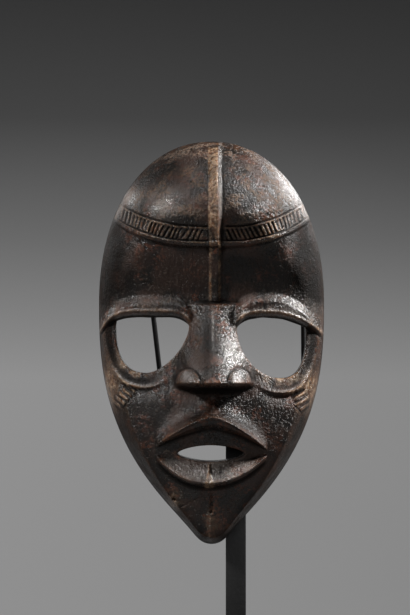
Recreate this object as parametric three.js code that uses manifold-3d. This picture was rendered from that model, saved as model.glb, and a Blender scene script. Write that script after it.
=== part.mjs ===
import * as THREE from 'three';
import { mergeVertices } from 'three/addons/utils/BufferGeometryUtils.js';
import Module from 'manifold-3d';

// A carved wooden mask with a slim oval face, resting on a black steel stand.
// Millimetres, +Z up. The face looks along -Y and the flat back of the rim is the plane y = 0.
// The mask is drawn from its chin point, which is then lifted onto the stand.

// Outline of the mask
const maskHeight = 239.5;
const maskWidth = 134;
const widestHeight = 143;
const domePower = 2.13;
const jawPower = 2.6;
const jawFullness = 0.97;
const chinRadius = 12;
const chinBlend = 6;

// The carved midline wanders from right at the forehead to left at the chin.
const midline = { centre: 0.9, sway: 2.1, z: 88, over: 22 };

// Wall
const rimWidth = 8;
const wallDepth = 10;
const chinSolid = 16;
const hollowPower = 3;
const hollowRound = 0.6;

// Centre profile of the face: how far it stands forward of the rim at each height.
const profile = [
  [0, 25], [30, 35], [58, 45], [84, 44], [108, 38], [143, 35], [168, 41], [192, 47], [239.5, 46],
];
const cheekBow = 11;

// Side wall: how wide the rounding from rim to face is, and how round, at chin, cheek and dome.
const sideRun = { chin: 5.5, cheek: 13, dome: 46, cheekFrom: 105, domeOver: 70 };
const sideRound = { chin: 1.25, cheek: 1.9, dome: 2 };
const proudGain = 1.2;

// Hatched band across the forehead, with the dome's ledge under it
const band = {
  z: 177, rise: 15.5, reach: 58, power: 2.8, height: 11, spread: 1.6,
  ledge: 2.6, ledgeRun: 1.8, grooveIn: 3.2, dip: 0.9, dipRun: 2.6, swell: 1.6, swellRun: 6.8,
};
const hatch = {
  pitch: 2.8, slant: 0.45, width: 1.5, depth: 0.9, lift: 0.6, first: 6.5, last: 56, short: 1.2,
};

// Median keel
const keel = {
  bottom: 143, start: 2, height: 6, low: 2.6, left: 5.4, right: 2.8, offset: 0.4, growFrom: 18, fade: 26,
};

// Lids, seen as two visors over the eye openings. Outer reach is toward the side of the face.
const leftLid = {
  x: -32, z: 138.4, innerReach: 18.9, innerDrop: 5, innerPower: 4,
  outerReach: 33.5, outerDrop: 10.7, outerPower: 5, thick: 7, proud: 5,
};
const rightLid = {
  x: 34, z: 138, innerReach: 18.8, innerDrop: 4.8, innerPower: 4,
  outerReach: 30.6, outerDrop: 11.6, outerPower: 1.92, thick: 8.9, proud: 5,
};
const lidUnderside = 3.4;
const lidSoft = 1.5;
const lidRound = 3.4;
const lidTaper = 0.85;
const lidFade = 2.5;

// Eye openings: a bowl under the lid's edge, with its own fullness on each side
const leftEye = {
  x: -38, z: leftLid.z - 8.4, side: -1,
  inner: 24.8, outer: 18.5, depth: 27.7, innerPower: 1.6, outerPower: 2.5,
};
const rightEye = {
  x: 40, z: rightLid.z - 10, side: 1,
  inner: 25.3, outer: 15.6, depth: 28.8, innerPower: 1.8, outerPower: 2.6,
};

// Sockets: a saucer round each opening, absent beside the nose
const socket = {
  width: 8, rise: 2.6, fall: 2.4, floor: 0.1, steepness: 4, cut: 2.5, cutRun: 10,
  noseEnd: 22, cheekStart: 42,
};

// Nose
const nose = {
  top: 143, start: 1.1, bottom: 97.2, topHalf: 19.5, wingHalf: 24, topRise: 5.5, tipRise: 27,
  topSection: 1.5, tipSection: 2.3, skirt: 1.25, growth: 1.15, under: 4.4, underFullness: 6,
};
const noseTip = { x: 1.2, lift: 2.4, radius: 8, rise: 1.6, squash: 1 };
const leftWing = { x: -13.8, lift: 0, radius: 7.2, rise: 5, squash: 0.92 };
const rightWing = { x: 16, lift: 0, radius: 7.2, rise: 5, squash: 0.92 };
const bulbSink = 2.5;

// Mouth
const mouthHole = { x: -0.6, z: 55.4, half: 19.3, up: 5.2, down: 4.6, power: 1.75 };
const mouthCorner = 32.5;
const cornerRound = 0.6;
const upperLip = {
  x: 0.5, z: 77.3, reach: 31, leftDrop: 15.5, rightDrop: 18.6, power: 1.5,
  rise: 12, above: 16, flare: 4.2, rim: 0.2, shelf: 0.22, shelfEnd: 0.5, rimStart: 0.82,
};
const lowerLip = {
  x: -2.5, z: 38.7, leftReach: 28, rightReach: 32, lift: 13.5, power: 2.2,
  rise: 13, under: 3.8, fullness: 0.9,
};
const lipRidge = { x: -1.5, half: 1, spread: 3, flare: 2.2, rise: 1.8, from: 3.5, to: 7, fade: 2.5 };
const muzzle = { z: 58, width: 34, height: 38, rise: 5 };
const chinRidge = { x: -0.4, half: 3, rise: 1.2, top: 22, fade: 4 };
const philtrum = { x: 0.3, half: 2.2, depth: 1.2, bottom: 80, top: 89, fade: 3 };

// Cheek scars: short ribs that step down and outward from below each socket's ridge
const scarWidth = 1.9;
const scarRise = 1.1;
const leftScars = { x: -47.4, z: 93.3, stepX: -2.1, stepZ: -2.3, count: 5, length: 7.5, slope: -0.72 };
const rightScars = { x: 50.3, z: 93, stepX: 1.7, stepZ: -3.4, count: 4, length: 9, slope: 0.58 };

// Fineness of the faceted face
const tolerance = 0.6;
const coarseEdge = 18;
const fineEdge = 1.6;
const hollowTolerance = 0.9;
const cutterFront = 110;
const cutterBack = 10;

// Stand
const touchGap = 0.3;
const chinAboveFloor = 84;
const footWidth = 110;
const footLength = 96;
const footThickness = 12;
const footForward = 14;
const postSide = 12;
const postX = 14.5;
const postTop = 92;
const crossDiameter = 4;
const crossSides = 12;
const crossOverhang = 2;
const armDiameter = 3;
const armSides = 10;
const leftArm = { foot: -30.2, side: -1, inset: 7.7, top: 192 };
const rightArm = { foot: 55, side: 1, inset: 1.6, top: 165 };
const pinReach = 7;

// Colours
const woodColour = 0x2a1f19;
const steelColour = 0x141414;

const wasm = await Module();
wasm.setup();

function smooth(from, to, value) {
  const t = Math.min(1, Math.max(0, (value - from) / (to - from)));
  return t * t * (3 - 2 * t);
}

function blend(a, b, t) {
  return a + (b - a) * t;
}

// Smooth curve through the named points of the centre profile.
function centreDepth(z) {
  let i = 0;
  while (i < profile.length - 2 && z > profile[i + 1][0]) i += 1;
  const before = profile[Math.max(0, i - 1)];
  const a = profile[i];
  const b = profile[i + 1];
  const after = profile[Math.min(profile.length - 1, i + 2)];
  const span = b[0] - a[0];
  const t = Math.min(1, Math.max(0, (z - a[0]) / span));
  const slopeA = (b[1] - before[1]) / (b[0] - before[0]) * span;
  const slopeB = (after[1] - a[1]) / (after[0] - a[0]) * span;
  const t2 = t * t;
  const t3 = t2 * t;
  const startPart = (2 * t3 - 3 * t2 + 1) * a[1] + (t3 - 2 * t2 + t) * slopeA;
  const endPart = (3 * t2 - 2 * t3) * b[1] + (t3 - t2) * slopeB;
  return startPart + endPart;
}

function midX(z) {
  return midline.centre + midline.sway * Math.tanh((z - midline.z) / midline.over);
}

// Half width of the egg-shaped outline, or of the hollow's mouth inset from it.
function eggHalf(z, inset) {
  const half = maskWidth / 2 - inset;
  const top = maskHeight - inset;
  const low = inset > 0 ? chinSolid : 0;
  if (z < low) return 0;
  if (z >= widestHeight) {
    const up = (z - widestHeight) / (top - widestHeight);
    return half * Math.pow(Math.max(0, 1 - Math.pow(up, domePower)), 1 / domePower);
  }
  const down = Math.min(1, (widestHeight - z) / (widestHeight - low));
  const cone = half * Math.pow(Math.max(0, 1 - Math.pow(down, jawPower)), jawFullness);
  const above = Math.max(0, z - low);
  return Math.sqrt(cone * cone + 2 * chinRadius * above * Math.exp(-above / chinBlend));
}

// Point of the outline at an angle from the top, positive toward +X.
function outlinePoint(angle, inset) {
  const turn = Math.abs(angle);
  const side = angle < 0 ? -1 : 1;
  const half = maskWidth / 2 - inset;
  const top = maskHeight - inset;
  if (turn <= Math.PI / 2) {
    const x = half * Math.pow(Math.sin(turn), 2 / domePower);
    const z = widestHeight + (top - widestHeight) * Math.pow(Math.max(0, Math.cos(turn)), 2 / domePower);
    return [side * x, z];
  }
  const low = inset > 0 ? chinSolid : 0;
  const z = widestHeight - (widestHeight - low) * Math.sin(turn - Math.PI / 2);
  return [side * eggHalf(z, inset), z];
}

// Signed reach of a point from a bowl's edge, positive outside it.
function bowlReach(x, z, eye) {
  const across = (x - eye.x) * eye.side;
  const down = eye.z - z;
  const inner = across < 0;
  const half = inner ? eye.inner : eye.outer;
  const power = inner ? eye.innerPower : eye.outerPower;
  const run = Math.hypot(across, down);
  const level = Math.pow(
    Math.pow(Math.abs(across) / half, power) + Math.pow(Math.max(0, down) / eye.depth, power), 1 / power);
  return level < 1e-6 ? -half : run * (1 - 1 / level);
}

// Height of a lid's front lower edge above the chin.
function lidEdge(x, lid) {
  const outward = (x - lid.x) * Math.sign(lid.x);
  if (outward > 0) {
    return lid.z - lid.outerDrop * Math.pow(outward / lid.outerReach, lid.outerPower);
  }
  return lid.z - lid.innerDrop * Math.pow(-outward / lid.innerReach, lid.innerPower);
}

function lidPresence(x, lid) {
  const outward = (x - lid.x) * Math.sign(lid.x);
  const inner = smooth(-lid.innerReach - lidFade, -lid.innerReach + lidFade, outward);
  return inner * (1 - smooth(lid.outerReach - lidFade / 2, lid.outerReach + 2 * lidFade, outward));
}

// A lid stands proud of the brow, with a soft top edge and a sharp lower edge.
function lidRelief(x, z, lid) {
  const edge = lidEdge(x, lid);
  const outward = Math.max(0, (x - lid.x) * Math.sign(lid.x) / lid.outerReach);
  const top = edge + lid.thick * (1 - lidTaper * Math.min(1, outward) ** 3);
  const upper = 1 - smooth(top - lidRound, top + lidRound, z);
  const lower = smooth(edge - lidUnderside, edge, z);
  return lid.proud * lidPresence(x, lid) * upper * lower;
}

// Share of the socket that is carved: none beside the nose, all of it on the cheek.
function cheekShare(x) {
  return smooth(socket.noseEnd, socket.cheekStart, Math.abs(x));
}

// The socket is a saucer round the opening, rising outward to a crisp ridge.
function socketRelief(x, z, eye, lid) {
  const reach = bowlReach(x, z, eye);
  const share = Math.min(1, Math.max(0, reach / socket.width));
  const saucer = blend(socket.floor, 1, share ** socket.steepness);
  const outside = 1 - smooth(socket.width, socket.width + socket.fall, reach);
  const brow = lidEdge(x, lid) - lidUnderside;
  const under = 1 - smooth(brow - lidSoft, brow, z);
  return socket.rise * saucer * outside * under * cheekShare(x);
}

// Below the lids the cheek side of the eye area is cut back behind the brow.
function eyeCut(x, z, eye, lid) {
  const edge = lidEdge(x, lid);
  const under = 1 - smooth(edge - lidUnderside, edge, z);
  const near = 1 - smooth(socket.width, socket.width + socket.cutRun, bowlReach(x, z, eye));
  return -socket.cut * under * near * lidPresence(x, lid) * cheekShare(x);
}

function bandEdge(x) {
  return band.z + band.rise * Math.pow(Math.abs(x) / band.reach, band.power);
}

// The band grows wider toward the sides.
function bandHeight(x) {
  return band.height + band.spread * (x / band.reach) ** 2;
}

// The dome stands forward over the brow: ledge, hatched band, then the swelling dome.
function domeRelief(x, z) {
  const edge = bandEdge(x);
  const top = edge + bandHeight(x);
  const ledge = smooth(edge - band.ledgeRun, edge, z);
  const swell = smooth(top, top + band.swellRun, z);
  const dipStart = smooth(edge + band.grooveIn / 2, edge + band.grooveIn, z);
  const dipEnd = smooth(top - band.dipRun, top, z);
  return band.ledge * ledge + band.swell * swell - band.dip * dipStart * (1 - dipEnd);
}

function keelRelief(x, z) {
  const across = x - midX(z) - keel.offset;
  const wide = across < 0 ? keel.left : keel.right;
  const strength = smooth(keel.bottom, keel.bottom + keel.start, z);
  const growFrom = keel.bottom + keel.growFrom;
  const height = blend(keel.low, keel.height, smooth(growFrom, growFrom + keel.fade, z));
  return strength * height * Math.max(0, 1 - Math.abs(across) / wide);
}

function noseHalf(z) {
  const down = Math.min(1, Math.max(0, (nose.top - z) / (nose.top - nose.bottom)));
  return blend(nose.topHalf, nose.wingHalf, down * down);
}

// The nose rises to its tip, runs out softly into the cheeks and ends in a flat underside.
function noseRelief(x, z) {
  const down = Math.max(0, (nose.top - z) / (nose.top - nose.bottom));
  const across = Math.min(1, Math.abs(x - midX(z)) / noseHalf(z));
  const fullness = blend(nose.topSection, nose.tipSection, Math.min(1, down));
  const section = (1 - across ** fullness) ** nose.skirt;
  const rise = blend(nose.topRise, nose.tipRise, Math.min(1, down) ** nose.growth);
  const start = 1 - smooth(nose.top - nose.start, nose.top + nose.start, z);
  const depth = nose.under * Math.sqrt(1 - across ** nose.underFullness) + nose.start;
  return rise * section * start * smooth(nose.bottom - depth, nose.bottom, z);
}

// A rounded swelling that stands on the lower edge of the nose.
function bulbRelief(x, z, bulb) {
  const up = (z - nose.bottom - bulb.lift) * bulb.squash;
  const near = Math.hypot(x - bulb.x, up) / bulb.radius;
  const above = smooth(nose.bottom - bulbSink, nose.bottom, z);
  return bulb.rise * above * Math.sqrt(Math.max(0, 1 - near * near));
}

// Crest of the upper lip: a bow, steeper on the right.
function upperLipEdge(x) {
  const across = (x - upperLip.x) / upperLip.reach;
  const drop = across < 0 ? upperLip.leftDrop : upperLip.rightDrop;
  return upperLip.z - drop * Math.abs(across) ** upperLip.power;
}

// Front lower edge of the lower lip.
function lowerLipEdge(x) {
  const across = (x - lowerLip.x) / (x < lowerLip.x ? lowerLip.leftReach : lowerLip.rightReach);
  return lowerLip.z + lowerLip.lift * Math.abs(across) ** lowerLip.power;
}

function mouthLevel(x, z) {
  const across = Math.abs(x - mouthHole.x) / mouthHole.half;
  const up = Math.abs(z - mouthHole.z) / (z > mouthHole.z ? mouthHole.up : mouthHole.down);
  return (across ** mouthHole.power + up ** mouthHole.power) ** (1 / mouthHole.power);
}

// The upper lip flares to its crest, has a narrow rim below it and is hollowed back to the opening.
function upperLipShare(x, z, holeTop) {
  const crest = upperLipEdge(x);
  if (z >= crest) return Math.max(0, 1 - (z - crest) / upperLip.above) ** upperLip.flare;
  const t = Math.max(0, (z - holeTop) / Math.max(1, crest - holeTop));
  const hollow = 1 - upperLip.rim - upperLip.shelf;
  const rim = upperLip.rim * smooth(upperLip.rimStart, 1, t);
  return upperLip.shelf * t + hollow * smooth(upperLip.shelfEnd, upperLip.rimStart, t) + rim;
}

// The lower lip slopes out to its edge and is cut away under it.
function lowerLipShare(x, z, holeBottom) {
  const edge = lowerLipEdge(x);
  const t = Math.min(1, Math.max(0, (holeBottom - z) / Math.max(1, holeBottom - edge)));
  return smooth(edge - lowerLip.under, edge, z) * t ** lowerLip.fullness;
}

function lipRelief(x, z) {
  const across = Math.min(1, Math.abs(x) / mouthCorner);
  const corner = (1 - across * across) ** cornerRound;
  const open = Math.sqrt(1 - across * across);
  if (z > mouthHole.z) {
    return corner * upperLip.rise * upperLipShare(x, z, mouthHole.z + mouthHole.up * open);
  }
  return corner * lowerLip.rise * lowerLipShare(x, z, mouthHole.z - mouthHole.down * open);
}

// A narrow rib down the middle of the lower lip, wider at its foot.
function lipRidgeRelief(x, z) {
  const bottom = lowerLipEdge(lipRidge.x);
  const top = mouthHole.z - lipRidge.to + lipRidge.fade;
  const along = smooth(bottom - lipRidge.from, bottom, z) * (1 - smooth(top - lipRidge.fade, top, z));
  const low = Math.max(0, 1 - Math.max(0, z - bottom) / (top - bottom));
  const half = lipRidge.half + lipRidge.spread * low ** lipRidge.flare;
  return lipRidge.rise * along * Math.max(0, 1 - Math.abs(x - lipRidge.x) / half);
}

// Muzzle swelling, the low rib on the chin and the groove under the nose.
function softRelief(x, z) {
  const away = Math.hypot(x / muzzle.width, (z - muzzle.z) / muzzle.height);
  const swell = muzzle.rise * Math.max(0, 1 - away * away) ** 2;
  const low = 1 - smooth(chinRidge.top - chinRidge.fade, chinRidge.top, z);
  const ridge = chinRidge.rise * low * Math.max(0, 1 - Math.abs(x - chinRidge.x) / chinRidge.half);
  const start = smooth(philtrum.bottom - philtrum.fade, philtrum.bottom, z);
  const dent = start * (1 - smooth(philtrum.top - philtrum.fade, philtrum.top, z));
  const groove = philtrum.depth * dent * Math.max(0, 1 - Math.abs(x - philtrum.x) / philtrum.half);
  return swell + ridge - groove;
}

// Rounding of the side wall, from 0 at the outline to 1 where the face proper begins.
function sideRise(z, inFromOutline) {
  const low = smooth(0, sideRun.cheekFrom, z);
  const high = smooth(widestHeight, widestHeight + sideRun.domeOver, z);
  const run = blend(blend(sideRun.chin, sideRun.cheek, low), sideRun.dome, high);
  const round = blend(blend(sideRound.chin, sideRound.cheek, low), sideRound.dome, high);
  const away = 1 - Math.min(1, inFromOutline / run);
  return Math.pow(Math.max(0, 1 - Math.pow(away, round)), 1 / round);
}

function faceDepth(x, z, inFromOutline) {
  const plane = centreDepth(z) - cheekBow * Math.pow(x / (maskWidth / 2), 2);
  const eye = x < 0 ? leftEye : rightEye;
  const lid = x < 0 ? leftLid : rightLid;
  const carved = domeRelief(x, z) + lidRelief(x, z, lid) + socketRelief(x, z, eye, lid)
    + eyeCut(x, z, eye, lid) + lipRelief(x, z) + lipRidgeRelief(x, z) + softRelief(x, z);
  const bulbs = Math.max(...[noseTip, leftWing, rightWing].map((bulb) => bulbRelief(x, z, bulb)));
  const proud = Math.max(keelRelief(x, z), noseRelief(x, z) + bulbs);
  const rise = sideRise(z, inFromOutline);
  return (plane + carved) * rise + proud * Math.min(1, rise * proudGain);
}

// The hollow follows the face at the wall's depth and runs out at the rim.
function hollowDepth(z, level) {
  const room = Math.max(0, 1 - level ** hollowPower) ** hollowRound;
  return Math.max(0, centreDepth(z) - wallDepth) * room;
}

// A point of a sheet: a place in the unit disc is pulled out to the outline it fills.
function sheetPoint(p, q, inset, depthAt) {
  const s = Math.min(1, Math.hypot(p, q));
  const angle = s > 0 ? Math.atan2(p, q) : 0;
  const [edgeX, edgeZ] = outlinePoint(angle, inset);
  const level = Math.sin(s * Math.PI / 2);
  const x = edgeX * level;
  const z = widestHeight + (edgeZ - widestHeight) * level;
  const radius = Math.hypot(edgeX, edgeZ - widestHeight);
  return [x, -depthAt(x, z, level, (1 - level) * radius), z];
}

// True well inside an opening, where the face needs no detail.
function isOpening(x, z) {
  const eye = x < 0 ? leftEye : rightEye;
  const lid = x < 0 ? leftLid : rightLid;
  const inEye = bowlReach(x, z, eye) < -2.5 && z < lidEdge(x, lid) - lidUnderside - 2;
  return inEye || mouthLevel(x, z) < 0.5;
}

// Splits triangles at their longest edge until the facets follow the form.
function growSheet(inset, depthAt, allowed, longest) {
  const rings = 3;
  const sectors = 12;
  const places = [[0, 0]];
  const points = [sheetPoint(0, 0, inset, depthAt)];
  const triangles = new Map();
  const edges = new Map();
  let nextTriangle = 0;
  const edgeKey = (a, b) => (a < b ? `${a}_${b}` : `${b}_${a}`);

  function addPlace(p, q) {
    places.push([p, q]);
    points.push(sheetPoint(p, q, inset, depthAt));
    return places.length - 1;
  }

  function addTriangle(a, b, c) {
    const id = nextTriangle;
    nextTriangle += 1;
    triangles.set(id, [a, b, c]);
    [[a, b], [b, c], [c, a]].forEach(([from, to]) => {
      const key = edgeKey(from, to);
      if (!edges.has(key)) edges.set(key, new Set());
      edges.get(key).add(id);
    });
    return id;
  }

  function dropTriangle(id) {
    const [a, b, c] = triangles.get(id);
    [[a, b], [b, c], [c, a]].forEach(([from, to]) => edges.get(edgeKey(from, to)).delete(id));
    triangles.delete(id);
  }

  function spread(a, b) {
    const [ax, ay, az] = points[a];
    const [bx, by, bz] = points[b];
    return Math.hypot(ax - bx, ay - by, az - bz);
  }

  // Length seen from the front, which a midpoint always halves, however steep the form is.
  function reach(a, b) {
    return Math.hypot(points[a][0] - points[b][0], points[a][2] - points[b][2]);
  }

  function longestEdge(id) {
    const [a, b, c] = triangles.get(id);
    const sides = [[a, b, c], [b, c, a], [c, a, b]];
    sides.sort((m, n) => reach(n[0], n[1]) - reach(m[0], m[1])
      || edgeKey(n[0], n[1]).localeCompare(edgeKey(m[0], m[1])));
    return sides[0];
  }

  function halve(id, a, b, middle) {
    const corners = triangles.get(id);
    const at = corners.findIndex((v, i) => v !== a && v !== b && corners[(i + 1) % 3] !== v);
    const apex = corners[at];
    const first = corners[(at + 1) % 3];
    const second = corners[(at + 2) % 3];
    dropTriangle(id);
    return [addTriangle(apex, first, middle), addTriangle(apex, middle, second)];
  }

  function split(id) {
    const made = [];
    while (triangles.has(id)) {
      const [a, b] = longestEdge(id);
      const key = edgeKey(a, b);
      const other = [...edges.get(key)].find((t) => t !== id);
      if (other !== undefined) {
        const [c, d] = longestEdge(other);
        if (edgeKey(c, d) !== key) {
          made.push(...split(other));
          continue;
        }
      }
      let p = (places[a][0] + places[b][0]) / 2;
      let q = (places[a][1] + places[b][1]) / 2;
      const onRim = other === undefined;
      if (onRim) {
        const size = Math.hypot(p, q);
        p /= size;
        q /= size;
      }
      const middle = addPlace(p, q);
      made.push(...halve(id, a, b, middle));
      if (!onRim) made.push(...halve(other, a, b, middle));
    }
    return made;
  }

  // How far the form strays from the flat facet, at places spread over the facet.
  function stray(id) {
    const [a, b, c] = triangles.get(id);
    const shares = [[0.5, 0.5, 0], [0, 0.5, 0.5], [0.5, 0, 0.5], [0.34, 0.33, 0.33],
      [0.6, 0.2, 0.2], [0.2, 0.6, 0.2], [0.2, 0.2, 0.6]];
    const plane = new THREE.Triangle(
      new THREE.Vector3(...points[a]), new THREE.Vector3(...points[b]), new THREE.Vector3(...points[c]),
    ).getPlane(new THREE.Plane());
    let worst = 0;
    shares.forEach(([u, v, w]) => {
      const p = places[a][0] * u + places[b][0] * v + places[c][0] * w;
      const q = places[a][1] * u + places[b][1] * v + places[c][1] * w;
      const real = sheetPoint(p, q, inset, depthAt);
      worst = Math.max(worst, Math.abs(plane.distanceToPoint(new THREE.Vector3(...real))));
    });
    return worst;
  }

  function wantsSplit(id) {
    const [a, b] = longestEdge(id);
    const size = spread(a, b);
    if (size < fineEdge) return false;
    if (size > longest) return true;
    const corners = triangles.get(id).map((v) => points[v]);
    const x = (corners[0][0] + corners[1][0] + corners[2][0]) / 3;
    const z = (corners[0][2] + corners[1][2] + corners[2][2]) / 3;
    if (inset === 0 && isOpening(x, z)) return false;
    return stray(id) > allowed;
  }

  let inner = Array.from({ length: sectors }, () => 0);
  for (let ring = 1; ring <= rings; ring += 1) {
    const outer = [];
    for (let sector = 0; sector < sectors; sector += 1) {
      const turn = sector / sectors * 2 * Math.PI;
      outer.push(addPlace(Math.sin(turn) * ring / rings, Math.cos(turn) * ring / rings));
    }
    for (let sector = 0; sector < sectors; sector += 1) {
      const next = (sector + 1) % sectors;
      addTriangle(inner[sector], outer[next], outer[sector]);
      if (ring > 1) addTriangle(inner[sector], inner[next], outer[next]);
    }
    inner = outer;
  }

  let waiting = [...triangles.keys()];
  while (waiting.length > 0) {
    const id = waiting.pop();
    if (!triangles.has(id) || !wantsSplit(id)) continue;
    waiting.push(...split(id).filter((t) => triangles.has(t)));
  }

  const rim = places.map((place, i) => ({ i, turn: Math.atan2(place[0], place[1]), s: Math.hypot(...place) }))
    .filter((v) => v.s > 0.99999)
    .sort((v, w) => v.turn - w.turn);
  return { points, triangles: [...triangles.values()], rim };
}

// Front sheet, back sheet and the flat rim between their two edges, as one closed skin.
function maskSkin() {
  const front = growSheet(0, (x, z, level, inward) => faceDepth(x, z, inward), tolerance, coarseEdge);
  const back = growSheet(rimWidth, (x, z, level) => hollowDepth(z, level), hollowTolerance, 2 * coarseEdge);
  const shift = front.points.length;
  const positions = [...front.points, ...back.points].flat();
  const faces = front.triangles.slice();
  back.triangles.forEach(([a, b, c]) => faces.push([a + shift, c + shift, b + shift]));
  const wrap = ({ i, turn }) => ({ i, turn: turn + 2 * Math.PI });
  const outer = [...front.rim, wrap(front.rim[0])];
  const inner = [...back.rim, wrap(back.rim[0])];
  let i = 0;
  let j = 0;
  while (i < outer.length - 1 || j < inner.length - 1) {
    const a = outer[i].i;
    const b = inner[j].i + shift;
    const nextOuter = i < outer.length - 1 ? outer[i + 1].turn : Infinity;
    const nextInner = j < inner.length - 1 ? inner[j + 1].turn : Infinity;
    if (nextOuter <= nextInner) {
      i += 1;
      faces.push([a, outer[i].i, b]);
    } else {
      j += 1;
      faces.push([a, inner[j].i + shift, b]);
    }
  }
  const skin = new THREE.BufferGeometry();
  skin.setAttribute('position', new THREE.Float32BufferAttribute(positions, 3));
  skin.setIndex(faces.flat());
  return skin;
}

function solidFrom(geometry) {
  const plain = geometry.clone();
  plain.deleteAttribute('normal');
  plain.deleteAttribute('uv');
  const merged = mergeVertices(plain, 1e-4);
  return new wasm.Manifold(new wasm.Mesh({
    numProp: 3,
    vertProperties: new Float32Array(merged.attributes.position.array),
    triVerts: new Uint32Array(merged.index.array),
  }));
}

function geometryFrom(solid) {
  const mesh = solid.getMesh();
  const geometry = new THREE.BufferGeometry();
  geometry.setAttribute('position', new THREE.Float32BufferAttribute(mesh.vertProperties, 3));
  geometry.setIndex(Array.from(mesh.triVerts));
  geometry.computeVertexNormals();
  return geometry;
}

// A cutter through the whole wall, with its outline drawn on the face.
function throughCutter(outline) {
  const shape = new THREE.Shape(outline.map(([x, z]) => new THREE.Vector2(x, z)));
  const cutter = new THREE.ExtrudeGeometry(shape, { depth: cutterFront + cutterBack, bevelEnabled: false });
  cutter.rotateX(Math.PI / 2);
  cutter.translate(0, cutterBack, 0);
  return cutter;
}

function eyeOutline(eye, lid) {
  const outline = [];
  const steps = 30;
  for (let i = 0; i <= steps; i += 1) {
    const turn = i / steps * Math.PI;
    const across = Math.cos(turn);
    const inner = across < 0;
    const half = inner ? eye.inner : eye.outer;
    const power = inner ? eye.innerPower : eye.outerPower;
    const x = eye.x + eye.side * Math.sign(across) * half * Math.pow(Math.abs(across), 2 / power);
    const z = eye.z - eye.depth * Math.pow(Math.sin(turn), 2 / power);
    outline.push([x, z]);
  }
  const topSteps = 10;
  for (let i = 0; i <= topSteps; i += 1) {
    const across = blend(-eye.inner + 0.6, eye.outer - 0.6, i / topSteps);
    const x = eye.x + eye.side * across;
    outline.push([x, lidEdge(x, lid) - lidUnderside]);
  }
  return eye.side > 0 ? outline : outline.reverse();
}

function mouthOutline() {
  const outline = [];
  const steps = 28;
  for (let i = 0; i < steps; i += 1) {
    const turn = i / steps * 2 * Math.PI;
    const across = Math.cos(turn);
    const up = Math.sin(turn);
    const reach = up > 0 ? mouthHole.up : mouthHole.down;
    outline.push([
      mouthHole.x + mouthHole.half * Math.sign(across) * Math.pow(Math.abs(across), 2 / mouthHole.power),
      mouthHole.z + reach * Math.sign(up) * Math.pow(Math.abs(up), 2 / mouthHole.power),
    ]);
  }
  return outline;
}

// Scale at which the outline passes through a point: 0 at the middle of the face, 1 at the edge.
function levelAt(x, z, inset) {
  let low = 0.001;
  let high = 1.5;
  for (let i = 0; i < 40; i += 1) {
    const level = (low + high) / 2;
    const inside = Math.abs(x) < level * eggHalf(widestHeight + (z - widestHeight) / level, inset);
    if (inside) high = level;
    else low = level;
  }
  return (low + high) / 2;
}

function surfaceY(x, z) {
  const inward = Math.hypot(x, z - widestHeight) * (1 / levelAt(x, z, 0) - 1);
  return -faceDepth(x, z, inward);
}

// A bar of triangular section lying along the face: a notch where it is sunk, a rib where it stands.
function faceBar(from, to, width, lift, sink) {
  const along = new THREE.Vector2(to[0] - from[0], to[1] - from[1]).normalize();
  const acrossX = -along.y * width / 2;
  const acrossZ = along.x * width / 2;
  const corners = [];
  [from, to].forEach(([x, z]) => {
    const y = surfaceY(x, z);
    corners.push([x - acrossX, y - lift, z - acrossZ]);
    corners.push([x + acrossX, y - lift, z + acrossZ]);
    corners.push([x, y + sink, z]);
  });
  const bar = new THREE.BufferGeometry();
  bar.setAttribute('position', new THREE.Float32BufferAttribute(corners.flat(), 3));
  const faces = [0, 1, 2, 3, 5, 4, 0, 3, 4, 0, 4, 1, 1, 4, 5, 1, 5, 2, 2, 5, 3, 2, 3, 0];
  bar.setIndex(lift + sink > 0 ? faces : faces.reverse());
  return bar;
}

function hatchNotches() {
  const notches = [];
  [-1, 1].forEach((side) => {
    for (let at = hatch.first; at < hatch.last; at += hatch.pitch) {
      const low = bandEdge(at) + band.grooveIn;
      const high = bandEdge(at) + bandHeight(at) - hatch.short;
      const lean = hatch.slant * (high - low) / 2;
      const from = [side * (at + lean), low];
      const to = [side * (at - lean), high];
      notches.push(faceBar(from, to, hatch.width, hatch.lift, hatch.depth));
    }
  });
  return notches;
}

function scarRibs() {
  const ribs = [];
  [leftScars, rightScars].forEach((scars) => {
    const reach = scars.length / 2 / Math.hypot(1, scars.slope);
    for (let i = 0; i < scars.count; i += 1) {
      const x = scars.x + i * scars.stepX;
      const z = scars.z + i * scars.stepZ;
      const from = [x - reach, z - reach * scars.slope];
      const to = [x + reach, z + reach * scars.slope];
      ribs.push(faceBar(from, to, scarWidth, -scarRise, -scarRise));
    }
  });
  return ribs;
}

function carvedMask() {
  let solid = solidFrom(maskSkin());
  [eyeOutline(leftEye, leftLid), eyeOutline(rightEye, rightLid), mouthOutline()].forEach((outline) => {
    solid = solid.subtract(solidFrom(throughCutter(outline)));
  });
  hatchNotches().forEach((notch) => {
    solid = solid.subtract(solidFrom(notch));
  });
  scarRibs().forEach((rib) => {
    solid = solid.add(solidFrom(rib));
  });
  return geometryFrom(solid);
}

const wood = new THREE.MeshStandardMaterial({ color: woodColour, roughness: 0.45, metalness: 0 });
const steel = new THREE.MeshStandardMaterial({ color: steelColour, roughness: 0.5, metalness: 0.6 });

const stand = new THREE.Group();

function addPiece(name, geometry, material) {
  const mesh = new THREE.Mesh(geometry, material);
  mesh.name = name;
  stand.add(mesh);
  return mesh;
}

// The rods lie just behind the flat back of the rim.
const behind = touchGap + crossDiameter / 2;

// A straight round rod from one point to another.
function rod(from, to, diameter, sides) {
  const along = to.clone().sub(from);
  const bar = new THREE.CylinderGeometry(diameter / 2, diameter / 2, along.length(), sides);
  const upright = new THREE.Vector3(0, 1, 0);
  bar.applyQuaternion(new THREE.Quaternion().setFromUnitVectors(upright, along.clone().normalize()));
  bar.translate((from.x + to.x) / 2, (from.y + to.y) / 2, (from.z + to.z) / 2);
  return bar;
}

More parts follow.
